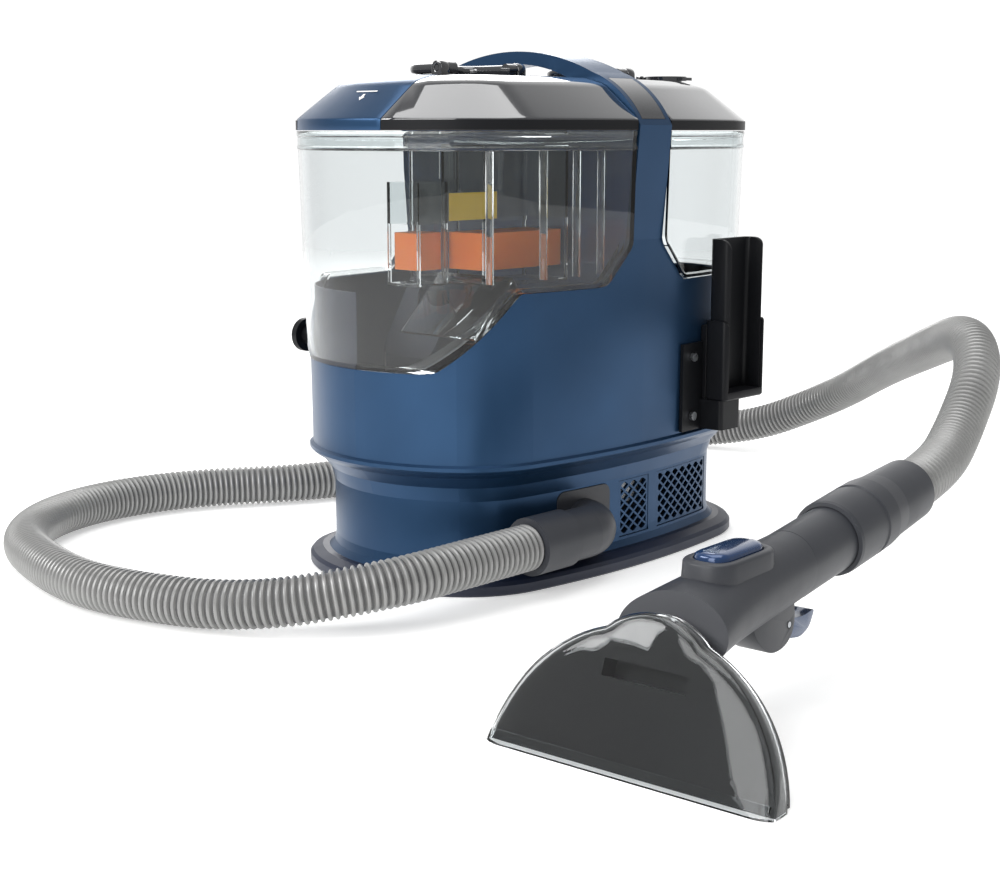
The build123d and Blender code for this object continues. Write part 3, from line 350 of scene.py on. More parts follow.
def outline_ring(offset, z):
    """Points round the machine's plan, grown by offset, at height z; both in millimetres."""
    side = Vector((0, HALF_DEPTH - SIDE_RADIUS))
    end = Vector((HALF_LENGTH - END_RADIUS, 0))
    to_side, to_end = SIDE_RADIUS - CORNER_RADIUS, END_RADIUS - CORNER_RADIUS
    apart = (end - side).length
    run = (to_side ** 2 - to_end ** 2 + apart ** 2) / (2 * apart)
    axis = (end - side).normalized()
    centre = side + axis * run + Vector((axis.y, -axis.x)) * sqrt(to_side ** 2 - run ** 2)
    join = atan2(centre.y - side.y, centre.x - side.x)
    turn = atan2(centre.y - end.y, centre.x - end.x)
    quarter = []
    for about, radius, start, finish, steps in ((side, SIDE_RADIUS, pi / 2, join, 10),
                                                (centre, CORNER_RADIUS, join, turn, 14),
                                                (end, END_RADIUS, turn, 0.0, 6)):
        for i in range(steps):
            angle = start + (finish - start) * i / steps
            quarter.append(about + Vector((cos(angle), sin(angle))) * (radius + offset))
    quarter.append(Vector((HALF_LENGTH + offset, 0)))
    right = [(p.x, p.y) for p in quarter] + [(p.x, -p.y) for p in reversed(quarter[:-1])]
    left = [(-x, y) for x, y in reversed(right[1:-1])]
    return [Vector((x, y, z)) * MM for x, y in right + left]


def soften(profile, reach, steps=5):
    """The profile with each inner corner replaced by a curve that starts reach before it."""
    points = [Vector(p) for p in profile]
    made = [points[0]]
    for before, corner, after in zip(points, points[1:], points[2:]):
        a = corner + (before - corner).normalized() * min(reach, (before - corner).length / 2)
        b = corner + (after - corner).normalized() * min(reach, (after - corner).length / 2)
        for i in range(steps + 1):
            t = i / steps
            made.append(a * (1 - t) ** 2 + corner * 2 * t * (1 - t) + b * t ** 2)
    return made + [points[-1]]


def stacked(profile):
    """Closed solid through plan outlines, from (height, offset) pairs in millimetres."""
    mesh = bmesh.new()
    skin(mesh, [outline_ring(offset, z) for z, offset in profile])
    return mesh


def block(x0, x1, y0, y1, z0, z1):
    """Box from two corners in millimetres, used to cut other meshes."""
    mesh = bmesh.new()
    rings = [[Vector((x, y, z)) * MM for x, y in ((x0, y0), (x1, y0), (x1, y1), (x0, y1))] for z in (z0, z1)]
    skin(mesh, rings)
    return mesh


def slab(outline, y0, y1):
    """Prism along Y with that (x, z) outline, in millimetres."""
    mesh = bmesh.new()
    skin(mesh, [[Vector((x, y, z)) * MM for x, z in outline] for y in (y0, y1)])
    return mesh


def turned(centre, direction, profile, sides=40):
    """Solid turned about an axis: (distance along it, radius) pairs in millimetres."""
    axis = Vector(direction).normalized()
    across = axis.orthogonal().normalized()
    other = axis.cross(across)
    mesh = bmesh.new()
    rings = []
    for run, radius in profile:
        rings.append([(Vector(centre) + axis * run + (across * cos(a) + other * sin(a)) * radius) * MM
                      for a in (2 * pi * i / sides for i in range(sides))])
    skin(mesh, rings)
    return mesh


def holder(mesh, name="cutter"):
    """Loose object that holds a bmesh for a moment."""
    bmesh.ops.recalc_face_normals(mesh, faces=mesh.faces)
    data = bpy.data.meshes.new(name)
    mesh.to_mesh(data)
    mesh.free()
    made = bpy.data.objects.new(name, data)
    bpy.context.collection.objects.link(made)
    return made


def settle(thing):
    """Apply every modifier of an object to its mesh."""
    bpy.context.view_layer.update()
    graph = bpy.context.evaluated_depsgraph_get()
    data = bpy.data.meshes.new_from_object(thing.evaluated_get(graph))
    thing.modifiers.clear()
    thing.data = data


def worked(mesh, steps=(), edge=0.0, angle=32):
    """The bmesh after boolean steps, each (operation, bmesh), and a rounding of its edges in millimetres."""
    thing = holder(mesh, "work")
    cutters = []
    for operation, tool in steps:
        cutters.append(holder(tool))
        change = thing.modifiers.new(operation, "BOOLEAN")
        change.operation = operation
        change.solver = "EXACT"
        change.object = cutters[-1]
    if edge:
        bevel = thing.modifiers.new("edge", "BEVEL")
        bevel.width = edge * MM
        bevel.segments = 2
        bevel.limit_method = "ANGLE"
        bevel.angle_limit = radians(angle)
        bevel.use_clamp_overlap = True
    settle(thing)
    made = bmesh.new()
    made.from_mesh(thing.data)
    for other in [thing, *cutters]:
        bpy.data.objects.remove(other)
    return made


def joined(*meshes):
    """Several bmeshes as one."""
    data = bpy.data.meshes.new("joined")
    first = meshes[0]
    for mesh in meshes[1:]:
        mesh.to_mesh(data)
        mesh.free()
        first.from_mesh(data)
    bpy.data.meshes.remove(data)
    return first


# ---------------------------------------------------------------------------
# Stage
# ---------------------------------------------------------------------------
CAMERA_AT = Vector((-0.9464, -0.8346, 0.310))
CAMERA_YAW = 47.6
CAMERA_PITCH = -10.54


class CLEANER_OT_stage(bpy.types.Operator):
    """Pale floor, soft studio light and the camera"""
    bl_idname = "cleaner.stage"
    bl_label = "Stage"

    def execute(self, context):
        scene = context.scene
        scene.view_settings.view_transform = "Standard"
        camera = bpy.data.objects.new("camera", bpy.data.cameras.new("camera"))
        yaw, pitch = radians(CAMERA_YAW), radians(CAMERA_PITCH)
        forward = Vector((sin(yaw) * cos(pitch), cos(yaw) * cos(pitch), sin(pitch)))
        camera.location = CAMERA_AT
        camera.rotation_euler = forward.to_track_quat("-Z", "Y").to_euler()
        camera.data.sensor_width = 36
        camera.data.lens = sizes().lens
        camera.data.clip_start = 0.01
        camera.data.clip_end = 100
        context.collection.objects.link(camera)
        scene.camera = camera
        self.floor(context)
        self.lights(context)
        self.surroundings(scene)
        return {"FINISHED"}

    def floor(self, context):
        """A wide disc under everything."""
        mesh = bmesh.new()
        bmesh.ops.create_circle(mesh, cap_ends=True, segments=96, radius=3.2)
        data = bpy.data.meshes.new("floor")
        mesh.to_mesh(data)
        mesh.free()
        material = moulded("painted_board_floor", colours().floor[:], linear("eeeeed"), 400, 2, 0.02, (0.5, 0.6),
                           Emission_Color=linear("ffffff"), Emission_Strength=0.4)
        data.materials.append(material)
        floor = bpy.data.objects.new("floor", data)
        context.collection.objects.link(floor)

    def lights(self, context):
        """Softboxes to the left, overhead and behind, and a small card that glints in the nozzle cover."""
        for name, place, size, power in (
            ("left_softbox", (-2.2, -0.4, 1.2), 1.5, 26.0),
            ("top_softbox", (-0.1, -0.1, 2.4), 1.9, 30.0),
            ("rear_softbox", (1.7, 1.9, 1.5), 1.2, 20.0),
            ("nozzle_card", (-1.53, 0.87, 1.26), 0.75, 14.0),
        ):
            light = bpy.data.lights.new(name, "AREA")
            light.shape = "SQUARE"
            light.size = size
            light.energy = power
            lamp = bpy.data.objects.new(name, light)
            lamp.location = place
            lamp.rotation_euler = (Vector((0, 0, 0.15)) - lamp.location).to_track_quat("-Z", "Y").to_euler()
            context.collection.objects.link(lamp)

    def surroundings(self, scene):
        """A white wall behind the machine and a dim room everywhere else."""
        world = bpy.data.worlds.new("studio_walls")
        world.use_nodes = True
        tree = world.node_tree
        tree.nodes.clear()
        place = add(tree, "ShaderNodeTexCoord").outputs["Generated"]
        wall = Vector((0.738, 0.674, 0.0))
        facing = add(tree, "ShaderNodeVectorMath", {0: place, 1: wall}, operation="DOT_PRODUCT")
        level = add(tree, "ShaderNodeMapRange", {"Value": facing.outputs["Value"], "From Min": 0.45,
                                                 "From Max": 0.8, "To Min": 0.4, "To Max": 1.05})
        background = add(tree, "ShaderNodeBackground", {"Color": linear("ffffff"), "Strength": level.outputs["Result"]})
        add(tree, "ShaderNodeOutputWorld", {"Surface": background.outputs["Background"]})
        scene.world = world


# ---------------------------------------------------------------------------
# Hose
# ---------------------------------------------------------------------------
HOSE_ROUTE = [
    (-0.122, -0.1075, 0.0345), (-0.172, -0.106, 0.034), (-0.243, -0.096, 0.030), (-0.308, -0.034, 0.0164),
    (-0.341, 0.066, 0.0164), (-0.334, 0.140, 0.0164), (-0.300, 0.237, 0.0164), (-0.216, 0.294, 0.0164),
    (-0.113, 0.289, 0.0164), (-0.016, 0.221, 0.0164), (0.088, 0.207, 0.0164), (0.232, 0.263, 0.017),
    (0.360, 0.216, 0.0164), (0.426, 0.097, 0.0164), (0.431, -0.007, 0.062), (0.369, -0.093, 0.104),
    (0.262, -0.189, 0.139), (0.181, -0.266, 0.167), (0.128, -0.304, 0.148), (0.070, -0.318, 0.112),
    (0.0096, -0.3363, 0.0992), (-0.035, -0.3388, 0.0935),
]


def read_spline(points, resolution=24):
    """Points along the smooth curve that has those control points."""
    curve = bpy.data.curves.new("hose_line", "CURVE")
    curve.dimensions = "3D"
    spline = curve.splines.new("NURBS")
    spline.points.add(len(points) - 1)
    for control, point in zip(spline.points, points):
        control.co = (*point, 1.0)
    spline.order_u = 3
    spline.use_endpoint_u = True
    spline.resolution_u = resolution
    holder = bpy.data.objects.new("hose_line", curve)
    bpy.context.collection.objects.link(holder)
    bpy.context.view_layer.update()
    mesh = bpy.data.meshes.new_from_object(holder)
    line = [v.co.copy() for v in mesh.vertices]
    bpy.data.objects.remove(holder)
    bpy.data.meshes.remove(mesh)
    bpy.data.curves.remove(curve)
    return line


def along(line):
    """Distance of each point from the start of the line."""
    marks = [0.0]
    for a, b in zip(line, line[1:]):
        marks.append(marks[-1] + (b - a).length)
    return marks


def ribbed_tube(mesh, line, radius, depth, pitch, sides):
    """Tube along the line with a rounded rib in every pitch."""
    marks = along(line)
    ribs = round(marks[-1] / pitch)
    stations = []
    for rib in range(ribs):
        stations += [(rib, radius - depth), (rib + 0.16, radius - 0.2 * depth), (rib + 0.36, radius),
                     (rib + 0.56, radius - 0.2 * depth), (rib + 0.72, radius - depth)]
    stations.append((ribs, radius - depth))
    rings = []
    tangent = (line[1] - line[0]).normalized()
    normal = tangent.orthogonal().normalized()
    index = 0
    for step, reach in stations:
        at = step / ribs * marks[-1]
        while index < len(line) - 2 and marks[index + 1] < at:
            index += 1
        share = (at - marks[index]) / (marks[index + 1] - marks[index])
        centre = line[index].lerp(line[index + 1], share)
        ahead = (line[index + 1] - line[index]).normalized()
        before = (line[index] - line[index - 1]).normalized() if index else ahead
        after = (line[index + 2] - line[index + 1]).normalized() if index < len(line) - 2 else ahead
        turned = (before.lerp(ahead, 0.5 + share) if share < 0.5 else ahead.lerp(after, share - 0.5)).normalized()
        normal = (normal - turned * normal.dot(turned)).normalized()
        side = turned.cross(normal)
        rings.append([centre + (normal * cos(a) + side * sin(a)) * reach
                      for a in (2 * pi * i / sides for i in range(sides))])
    skin(mesh, rings)


class CLEANER_OT_hose(bpy.types.Operator):
    """Ribbed suction hose from the port elbow round the back to the hand tool"""
    bl_idname = "cleaner.hose"
    bl_label = "Hose"

    def execute(self, context):
        s = sizes()
        line = read_spline([Vector(p) for p in HOSE_ROUTE])
        mesh = bmesh.new()
        ribbed_tube(mesh, line, s.hose_diameter / 2, s.rib_depth, s.rib_pitch, s.hose_sides)
        hose = piece("ribbed_hose", mesh, "machine", soft_vinyl, ["suction_hose"])
        # Painted shade: the band of faces at the bottom of every groove takes the darker vinyl.
        hose.data.materials.append(finish(painted_groove_shade_vinyl))
        for face in hose.data.polygons:
            if face.index // s.hose_sides % 5 == 4:
                face.material_index = 1
        return {"FINISHED"}


# ---------------------------------------------------------------------------
# Finishes on the CAD's own pieces
# ---------------------------------------------------------------------------
NODE_FINISHES = {"nozzle_cover": clear_pc, "lip_strip": clear_pc, "deck": navy_abs, "base_plate": navy_abs,
                 "spine": plain_blue_abs,
                 "separator_tower": navy_abs, "nozzle_body": dark_nozzle_abs}


class CLEANER_OT_finishes(bpy.types.Operator):
    """Give every CAD piece the finish of its material slot"""
    bl_idname = "cleaner.finishes"
    bl_label = "Finishes"

    def execute(self, context):
        for name, node in NODES.items():
            slot = node.data.materials[0].name
            maker = NODE_FINISHES.get(name, SLOT_FINISHES[slot])
            for place in node.material_slots:
                place.material = finish(maker)
        return {"FINISHED"}


# ---------------------------------------------------------------------------
# Lids and their trim
# ---------------------------------------------------------------------------
RIM = 310.0
LID_TOP = 347.0
LID_PROFILE = [(310.4, 5.0), (317.6, 5.0), (318.6, 4.0), (342.0, -25.5), (347.0, -44.0), (347.0, -60.0)]
LID_WALL = 2.4
STRAP_SIDE = 18.8
LATCH = (-260.0, -128.0, -32.0, 72.0)
BAIL_Y = -18.0
BAIL_Z = 352.2
DIRTY_BAIL_ENDS = (-112, -34)
CLEAN_BAIL_ENDS = (34, 92)
CAP_AT = (118, -36)
FAR = 300


def lid_skin(wall):
    """Closed shell of both lids before they are cut apart."""
    outer = soften(LID_PROFILE, 4.5)
    inner = [(z - (wall if offset < -20 else 0.6 * wall), offset - wall) for z, offset in reversed(outer)]
    inner[-1] = (outer[0][0], inner[-1][1])
    return stacked([(z, offset) for z, offset in inner] + [(p[0], p[1]) for p in outer])


def bail_boss(x):
    """Arch-topped boss for one end of a loop handle."""
    arch = [(BAIL_Y - 5.0, LID_TOP - 1.0)]
    arch += [(BAIL_Y - 5 * cos(a), BAIL_Z + 5 * sin(a)) for a in (pi * i / 14 for i in range(15))]
    arch += [(BAIL_Y + 5.0, LID_TOP - 1.0)]
    mesh = bmesh.new()
    skin(mesh, [[Vector((x + dx, y, z)) * MM for y, z in arch] for dx in (-4, 4)])
    return worked(mesh, [("DIFFERENCE", turned((x - 6, BAIL_Y, BAIL_Z), (1, 0, 0), [(0, 2.3), (12, 2.3)], 24))], 0.7)


class CLEANER_OT_lids(bpy.types.Operator):
    """Smoked lids with their bosses, and the coloured latch panel with its arrow"""
    bl_idname = "cleaner.lids"
    bl_label = "Lids"

    def execute(self, context):
        left = ("INTERSECT", block(-FAR, -STRAP_SIDE, -FAR, FAR, 300, 400))
        right = ("INTERSECT", block(STRAP_SIDE, FAR, -FAR, FAR, 300, 400))
        x0, x1, y0, y1 = LATCH
        notch = ("DIFFERENCE", block(x0, x1, y0, y1, 300, 400))
        shell = worked(lid_skin(LID_WALL), [left, notch], 0.5)
        bosses = [bail_boss(x) for x in DIRTY_BAIL_ENDS]
        piece("dirty_lid_smoked", joined(shell, *bosses), "dirty_lid_body", smoked_acrylic,
              ["dirty_lid"])
        panel = ("INTERSECT", block(x0, x1 - 0.6, y0 + 0.6, y1 - 0.6, 300, 400))
        piece("latch_panel_skin", worked(lid_skin(LID_WALL), [panel], 0.5), "latch", pearl_abs,
              ["latch_panel"])
        self.tray()
        self.clean_lid(right)
        self.bands()
        self.arrow()
        return {"FINISHED"}

    def tray(self):
        """Dark tray under the latch panel, seen when the panel lifts."""
        x0, x1, y0, y1 = LATCH
        profile = [(z - 3.4, offset - 3.0) for z, offset in soften(LID_PROFILE, 4.5)]
        inner = [(z - 2, offset - 2) for z, offset in reversed(profile)]
        cut = ("INTERSECT", block(x0, x1 + 2, y0 - 2, y1 + 2, RIM + 0.6, 400))
        piece("latch_tray", worked(stacked(inner + profile), [cut], 0.4), "dirty_lid_body", black_abs)

    def clean_lid(self, right):
        """Lid of the clean tank with its filler hole and flap ears."""
        x, y = CAP_AT
        hole = ("DIFFERENCE", turned((x, y, LID_TOP - 10), (0, 0, 1), [(0, 13), (20, 13)], 48))
        shell = worked(lid_skin(LID_WALL), [right, hole], 0.5)
        parts = [bail_boss(end) for end in CLEAN_BAIL_ENDS]
        for dx in (-9, 9):
            ear = block(x + dx - 2, x + dx + 2, y + 16.1, y + 20.9, LID_TOP - 1, LID_TOP + 4.6)
            parts.append(worked(ear, [], 0.6))
        piece("clean_lid_smoked", joined(shell, *parts), "clean_tank", smoked_acrylic, ["clean_lid"])

    def bands(self):
        """Dark band round the foot of each lid."""
        for x0, x1, body in ((-FAR, -STRAP_SIDE, "dirty_lid_body"), (STRAP_SIDE, FAR, "clean_tank")):
            mesh = bmesh.new()
            rings = [outline_ring(offset, z) for z, offset in ((310.6, 4.6), (310.6, 5.3), (317.2, 5.3), (317.2, 4.6))]
            skin(mesh, rings + [rings[0]], caps=False)
            bmesh.ops.remove_doubles(mesh, verts=mesh.verts, dist=1e-6)
            steps = [("INTERSECT", block(x0, x1, -FAR, FAR, 300, 400))]
            if x0 == -FAR:
                steps.append(("DIFFERENCE", block(LATCH[0], LATCH[1], LATCH[2], LATCH[3], 300, 400)))
            piece(f"{body}_band", worked(mesh, steps), body, black_abs)

    def arrow(self):
        """Small printed bar and arrow that point to the edge where the latch lifts."""
        low, high = Vector(LID_PROFILE[2]), Vector(LID_PROFILE[3])
        at = low.lerp(high, 0.72)
        origin = Vector((-(HALF_LENGTH + at.y), 0, at.x))
        slope = Vector((low.y - high.y, 0, high.x - low.x)).normalized()
        normal = Vector((-slope.z, 0, slope.x))
        shapes = [[(-10, 0), (10, 0), (10, 1), (-10, 1)], [(-1.1, -2.5), (1.1, -2.5), (1.1, -5.5), (-1.1, -5.5)],
                  [(-2.6, -5.5), (2.6, -5.5), (0, -9)]]
        mesh = bmesh.new()
        for shape in shapes:
            flat = [origin + Vector((0, -a, 0)) + slope * b for a, b in shape]
            skin(mesh, [[(p + normal * lift) * MM for p in flat] for lift in (0.05, 0.25)])
        piece("latch_arrow", mesh, "latch", white_print)


# ---------------------------------------------------------------------------
# Tank trim and the dark inner wall
# ---------------------------------------------------------------------------
WINDOW_LEFT = [(-FAR, 151), (-164, 151), (-121, 204), (-44, 204), (-18, 231), (-18, 420), (-FAR, 420)]
WINDOW_RIGHT = [(FAR, 204), (46, 204), (18, 233), (18, 420), (FAR, 420)]


def tank_offset(z):
    """Offset of a tank's outer wall at height z, from its draft."""
    return 4.4 - (RIM - z) * 0.0262


class CLEANER_OT_tank_trim(bpy.types.Operator):
    """Rim beads and ribs of the clear tanks, the label and the dark inner wall"""
    bl_idname = "cleaner.tank_trim"
    bl_label = "Tank trim"

    def execute(self, context):
        for side, body in ((-1, "dirty_tank"), (1, "clean_tank")):
            self.beads(side, body)
        self.liner()
        self.ramp()
        self.marks()
        return {"FINISHED"}

    def beads(self, side, body):
        """Two clear beads and a thick clear band just under the lid."""
        x0, x1 = (-FAR, -STRAP_SIDE) if side < 0 else (STRAP_SIDE, FAR)
        half = ("INTERSECT", block(x0, x1, -FAR, FAR, 280, 320))
        o = tank_offset(300)
        profile = [(309.8, o - 0.3), (309.8, o + 0.7), (306.6, o + 0.7), (306.0, o + 0.1), (300.0, o + 0.1),
                   (299.4, o + 0.6), (297.6, o + 0.6), (297.0, o - 0.3)]
        mesh = bmesh.new()
        rings = [outline_ring(offset, z) for z, offset in profile]
        skin(mesh, rings + [rings[0]], caps=False)
        bmesh.ops.remove_doubles(mesh, verts=mesh.verts, dist=1e-6)
        name = "dirty" if side < 0 else "clean"
        piece(f"{name}_tank_rim", worked(mesh, [half], 0.2), body, clear_acrylic)

    def liner(self):
        """Navy inner wall that lines the coloured tub up to the window edges."""
        rings = [(117.4, -6.2), (234.6, -6.2), (234.6, -5.7), (117.4, -5.7)]
        mesh = bmesh.new()
        made = [outline_ring(offset, z) for z, offset in rings]
        skin(mesh, made + [made[0]], caps=False)
        bmesh.ops.remove_doubles(mesh, verts=mesh.verts, dist=1e-6)
        cuts = [("DIFFERENCE", slab([(x, z - 1.0) for x, z in outline], -FAR, 0))
                for outline in (WINDOW_LEFT, WINDOW_RIGHT)]
        cuts += [("DIFFERENCE", block(-FAR, FAR, 0, FAR, 203, 300))]
        piece("tub_liner", worked(mesh, cuts), "machine", navy_abs)

    def ramp(self):
        """Clear sloping baffle in front of the tower, and four upright ribs on the tank's front wall."""
        parts = []
        plate = [(-150, 176), (-112, 214), (-60, 150), (-62, 148.6), (-112, 210.8), (-148.6, 174.6)]
        parts.append(worked(slab(plate, -84, -16), [], 0.4))
        for x in (-148, -96, -62, -36):
            ring = [(x - 0.9, -99.4), (x + 0.9, -99.4), (x + 0.9, -93.5), (x - 0.9, -93.5)]
            mesh = bmesh.new()
            skin(mesh, [[Vector((a, b, z)) * MM for a, b in ring] for z in (212, 297)])
            parts.append(worked(mesh, [], 0.3))
        piece("tank_baffle", joined(*parts), "dirty_tank", clear_acrylic)

    def marks(self):
        """A blank yellow label on the float cage."""
        mesh = bmesh.new()
        rings = [[(x, -22.15, z) for x, z in ((-150, 252), (-104, 252), (-104, 270), (-150, 270))],
                 [(x, -22.0, z) for x, z in ((-150, 252), (-104, 252), (-104, 270), (-150, 270))]]
        skin(mesh, [[(Vector(p) - Vector((0, 40.3, 0))) * MM for p in ring] for ring in rings])
        piece("cage_label", mesh, "dirty_tank", paper_label)


# ---------------------------------------------------------------------------
# Holster
# ---------------------------------------------------------------------------
HOLSTER = (74, 120, -129.5, -112.0)
HOLSTER_LOW = 113.0
HOLSTER_STEP = 172.0
HOLSTER_TOP = 232.0


def rounded_rect(x0, x1, y0, y1, radius, steps=7):
    """Points of a rectangle with rounded corners."""
    points = []
    for cx, cy, start in ((x1 - radius, y1 - radius, 0), (x0 + radius, y1 - radius, pi / 2),
                          (x0 + radius, y0 + radius, pi), (x1 - radius, y0 + radius, 1.5 * pi)):
        points += [(cx + radius * cos(start + pi / 2 * i / steps), cy + radius * sin(start + pi / 2 * i / steps))
                   for i in range(steps + 1)]
    return points


def post(x0, x1, y0, y1, radius, levels):
    """Upright rounded block through (height, inset) levels."""
    mesh = bmesh.new()
    skin(mesh, [[Vector((x, y, z)) * MM for x, y in rounded_rect(x0 + i, x1 - i, y0 + i, y1 - i, max(radius - i, 0.4))]
                for z, i in levels])
    return mesh


def channel(x0, x1, y0, y1, low, high, curl, floor):
    """Upright channel, open to the front, whose side walls curl back at the top."""
    inside = post(x0 + 3.2, x1 - 3.2, y0 - 14, y1 - 3.4, 3.0, [(low + floor, 0), (high + 5, 0)])
    curve = [(y0 - 2, high + 2), (y0 - 2, high - curl)]
    curve += [(y0 + curl - curl * cos(a), high - curl + curl * sin(a)) for a in (pi / 2 * i / 10 for i in range(11))]
    curve += [(y0 + curl, high + 2)]
    trim = bmesh.new()
    skin(trim, [[Vector((x, y, z)) * MM for y, z in curve] for x in (x0 - 5, x1 + 5)])
    block_ = post(x0, x1, y0, y1, 4.0, [(low, 1.2), (low + 1.2, 0), (high, 0)])
    return worked(block_, [("DIFFERENCE", inside), ("DIFFERENCE", trim)], 0.9, 28)


class CLEANER_OT_holster(bpy.types.Operator):
    """Open two-step channel that the hand tool hangs in"""
    bl_idname = "cleaner.holster"
    bl_label = "Holster"

    def execute(self, context):
        x0, x1, y0, y1 = HOLSTER
        upper = channel(x0, x1, y0, y1, HOLSTER_LOW + 2, HOLSTER_TOP, 9, -4)
        lower = channel(x0 - 3, x1 + 2, y0 - 1.5, y1 + 1, HOLSTER_LOW, HOLSTER_STEP, 5, 6)
        piece("holster_channel", joined(upper, lower), "machine", black_abs, ["holster_cup"])
        return {"FINISHED"}


# ---------------------------------------------------------------------------
# Hand tool
# ---------------------------------------------------------------------------
TOOL_AT = Vector((-338.5, -355.8, 0))
TOOL_HEADING = 3.2
FACE_TILT = 70.0
LIP_WIDTH = 172.0
FACE_HEIGHT = 84.0
COVER_WALL = 1.8
CHANNEL_DEPTH = 6.0


def to_machine(mesh):
    """Turn a mesh from the tool's frame, in metres, to the machine's."""
    turn = Matrix.Translation(TOOL_AT * MM) @ Matrix.Rotation(radians(TOOL_HEADING), 4, "Z")
    bmesh.ops.transform(mesh, matrix=turn, verts=mesh.verts)
    return mesh


def face_point(across, up, depth):
    """Point of the nozzle's tilted face, in the tool's frame, in millimetres."""
    tilt = radians(FACE_TILT)
    return Vector((cos(tilt) * up + sin(tilt) * depth, -across, sin(tilt) * up - cos(tilt) * depth))


def bow(a, b, c, steps):
    """Points on the circle arc through three (x, y) points, without the last one."""
    (ax, ay), (bx, by), (cx, cy) = a, b, c
    d = 2 * (ax * (by - cy) + bx * (cy - ay) + cx * (ay - by))
    ux = ((ax * ax + ay * ay) * (by - cy) + (bx * bx + by * by) * (cy - ay) + (cx * cx + cy * cy) * (ay - by)) / d
    uy = ((ax * ax + ay * ay) * (cx - bx) + (bx * bx + by * by) * (ax - cx) + (cx * cx + cy * cy) * (bx - ax)) / d
    radius = sqrt((ax - ux) ** 2 + (ay - uy) ** 2)
    start, finish = atan2(ay - uy, ax - ux), atan2(cy - uy, cx - ux)
    while finish < start:
        finish += 2 * pi
    return [(ux + radius * cos(start + (finish - start) * i / steps),
             uy + radius * sin(start + (finish - start) * i / steps)) for i in range(steps)]


def arch(inset):
    """The arch of the nozzle's face, moved in by inset, as (across, up) points."""
    half, top = LIP_WIDTH / 2 - inset, FACE_HEIGHT - inset
    shoulder, bulge = (half * 0.33, top * 0.865), (half * 0.82, top * 0.49)
    points = bow((half, 0), bulge, shoulder, 14) + bow(shoulder, (0, top), (-shoulder[0], shoulder[1]), 12)
    return points + bow((-shoulder[0], shoulder[1]), (-bulge[0], bulge[1]), (-half, 0), 14) + [(-half, 0)]


def face_ring(inset, depth, least=0.0, drop=0.0):
    """The arch at that inset and depth, closed along the lip, where the inset shrinks towards least."""
    points = []
    for wide, slim in zip(arch(least), arch(inset)):
        share = min(1.0, 0.3 + wide[1] / 30)
        points.append((wide[0] + (slim[0] - wide[0]) * share, wide[1] + (slim[1] - wide[1]) * share))
    points = [(points[0][0], -drop)] + points + [(points[-1][0], -drop)]
    return [face_point(a, b, depth) * MM for a, b in points]


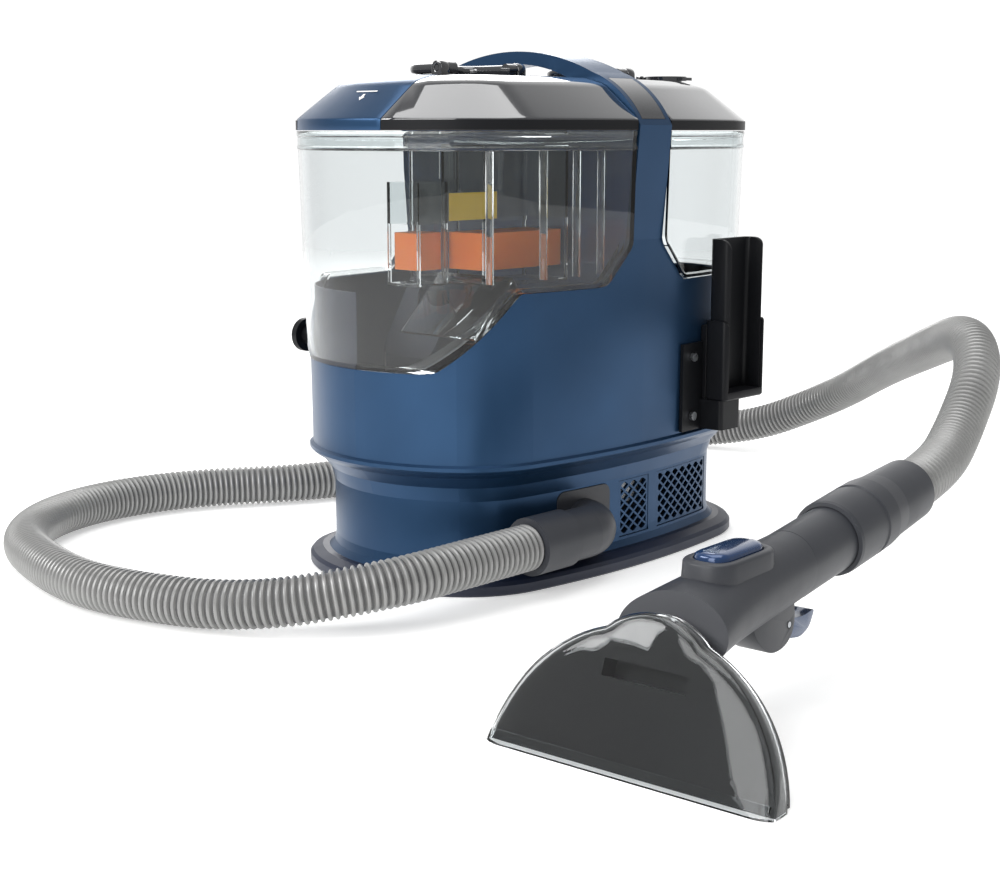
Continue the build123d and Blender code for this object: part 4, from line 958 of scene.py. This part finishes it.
class CLEANER_OT_tool(bpy.types.Operator):
    """Domed nozzle cover, button with its collar, trigger and the fairing under the neck"""
    bl_idname = "cleaner.tool"
    bl_label = "Hand tool"

    def execute(self, context):
        self.cover()
        collar = post(69, 129, -15.5, 15.5, 14, [(76, -2.0), (84, -0.6), (92.8, 0), (94.0, 0.6), (94.6, 1.8)])
        well = post(75, 123, -11, 11, 9.5, [(80, 0), (96, 0)])
        piece("button_collar", to_machine(worked(collar, [("DIFFERENCE", well)], 0.5)), "machine", textured_pp,
              ["button_surround"])
        button = post(75.8, 122.2, -10.2, 10.2, 8.6, [(88, 0), (95.8, 0), (97.0, 0.7), (97.9, 2.2), (98.3, 5.0)])
        piece("button_domed", to_machine(button), "button", gloss_abs, ["release_button"])
        self.trigger()
        return {"FINISHED"}

    def cover(self):
        """Clear cover with a soft rolled edge round its arch."""
        outer = [(0.0, 34.0), (0.2, 26.0), (1.0, 16.0), (1.9, 9.0), (2.6, 4.8), (3.6, 2.2), (5.2, 0.7), (8.0, 0.0),
                 (CHANNEL_DEPTH + 9, 0.0)]
        rings = [face_ring(inset, depth, 0.0, 6.0) for depth, inset in outer]
        rings += [face_ring(inset + 1.5, depth + COVER_WALL, 1.8, 7.0) for depth, inset in reversed(outer[:-1])]
        rings[len(outer):len(outer)] = [face_ring(1.8, CHANNEL_DEPTH + 9, 1.8, 7.0)]
        mesh = bmesh.new()
        skin(mesh, rings)
        mesh = worked(mesh, [("DIFFERENCE", block(-60, 400, -200, 200, -60, 0.3))])
        piece("nozzle_cover_domed", to_machine(mesh), "cover", clear_pc, ["nozzle_cover"])

    def trigger(self):
        """Black fairing that grows out of the neck, and the coloured trigger hung from it."""
        shape = soften([(108, 0, 60), (112, 0, 46), (128, 0, 33), (146, 0, 34), (155, 0, 44), (153, 0, 60)], 9)
        mesh = bmesh.new()
        skin(mesh, [[Vector((v.x, y, v.z)) * MM for v in shape] for y in (-9.6, 9.6)])
        gap = bmesh.new()
        skin(gap, [[Vector((x, y, z)) * MM for x, z in ((142.6, 30), (170, 30), (170, 56), (142.6, 56))]
                   for y in (-6.2, 6.2)])
        hole = turned((148, -12, 46), (0, 1, 0), [(0, 2.0), (24, 2.0)], 24)
        piece("trigger_fairing", to_machine(worked(mesh, [("DIFFERENCE", gap), ("DIFFERENCE", hole)], 1.0)),
              "machine", textured_pp, ["trigger_lug"])
        shape = soften([(144, 0, 50.5), (143.8, 0, 44), (147, 0, 37), (168, 0, 33.5), (178, 0, 37), (184, 0, 47),
                        (172, 0, 45.2), (160, 0, 46), (152, 0, 50.5)], 4)
        mesh = bmesh.new()
        skin(mesh, [[Vector((v.x, y, v.z)) * MM for v in shape] for y in (-5.6, 5.6)])
        hole = turned((148, -12, 46), (0, 1, 0), [(0, 2.0), (24, 2.0)], 24)
        piece("trigger_hook", to_machine(worked(mesh, [("DIFFERENCE", hole)], 1.1)), "trigger", gloss_abs,
              ["spray_trigger"])


# ---------------------------------------------------------------------------
# Panel and registration
# ---------------------------------------------------------------------------
OPERATORS = (CLEANER_OT_stage, CLEANER_OT_hose, CLEANER_OT_finishes, CLEANER_OT_lids, CLEANER_OT_tank_trim,
             CLEANER_OT_holster, CLEANER_OT_tool)


class CLEANER_PT_panel(bpy.types.Panel):
    """Sidebar list of the maker operators"""
    bl_idname = "CLEANER_PT_panel"
    bl_label = "Spot Cleaner"
    bl_space_type = "VIEW_3D"
    bl_region_type = "UI"
    bl_category = "Spot Cleaner"

    def draw(self, context):
        for operator in OPERATORS:
            self.layout.operator(operator.bl_idname)


CLASSES = (CleanerColours, CleanerSizes, *OPERATORS, CLEANER_PT_panel)


def register():
    for item in CLASSES:
        bpy.utils.register_class(item)
    bpy.types.Scene.cleaner_colours = bpy.props.PointerProperty(type=CleanerColours)
    bpy.types.Scene.cleaner_sizes = bpy.props.PointerProperty(type=CleanerSizes)


def unregister():
    del bpy.types.Scene.cleaner_sizes
    del bpy.types.Scene.cleaner_colours
    for item in reversed(CLASSES):
        bpy.utils.unregister_class(item)


def main():
    """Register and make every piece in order."""
    register()
    for operator in OPERATORS:
        group, name = operator.bl_idname.split(".")
        getattr(getattr(bpy.ops, group), name)()


if __name__ == "__main__":
    main()
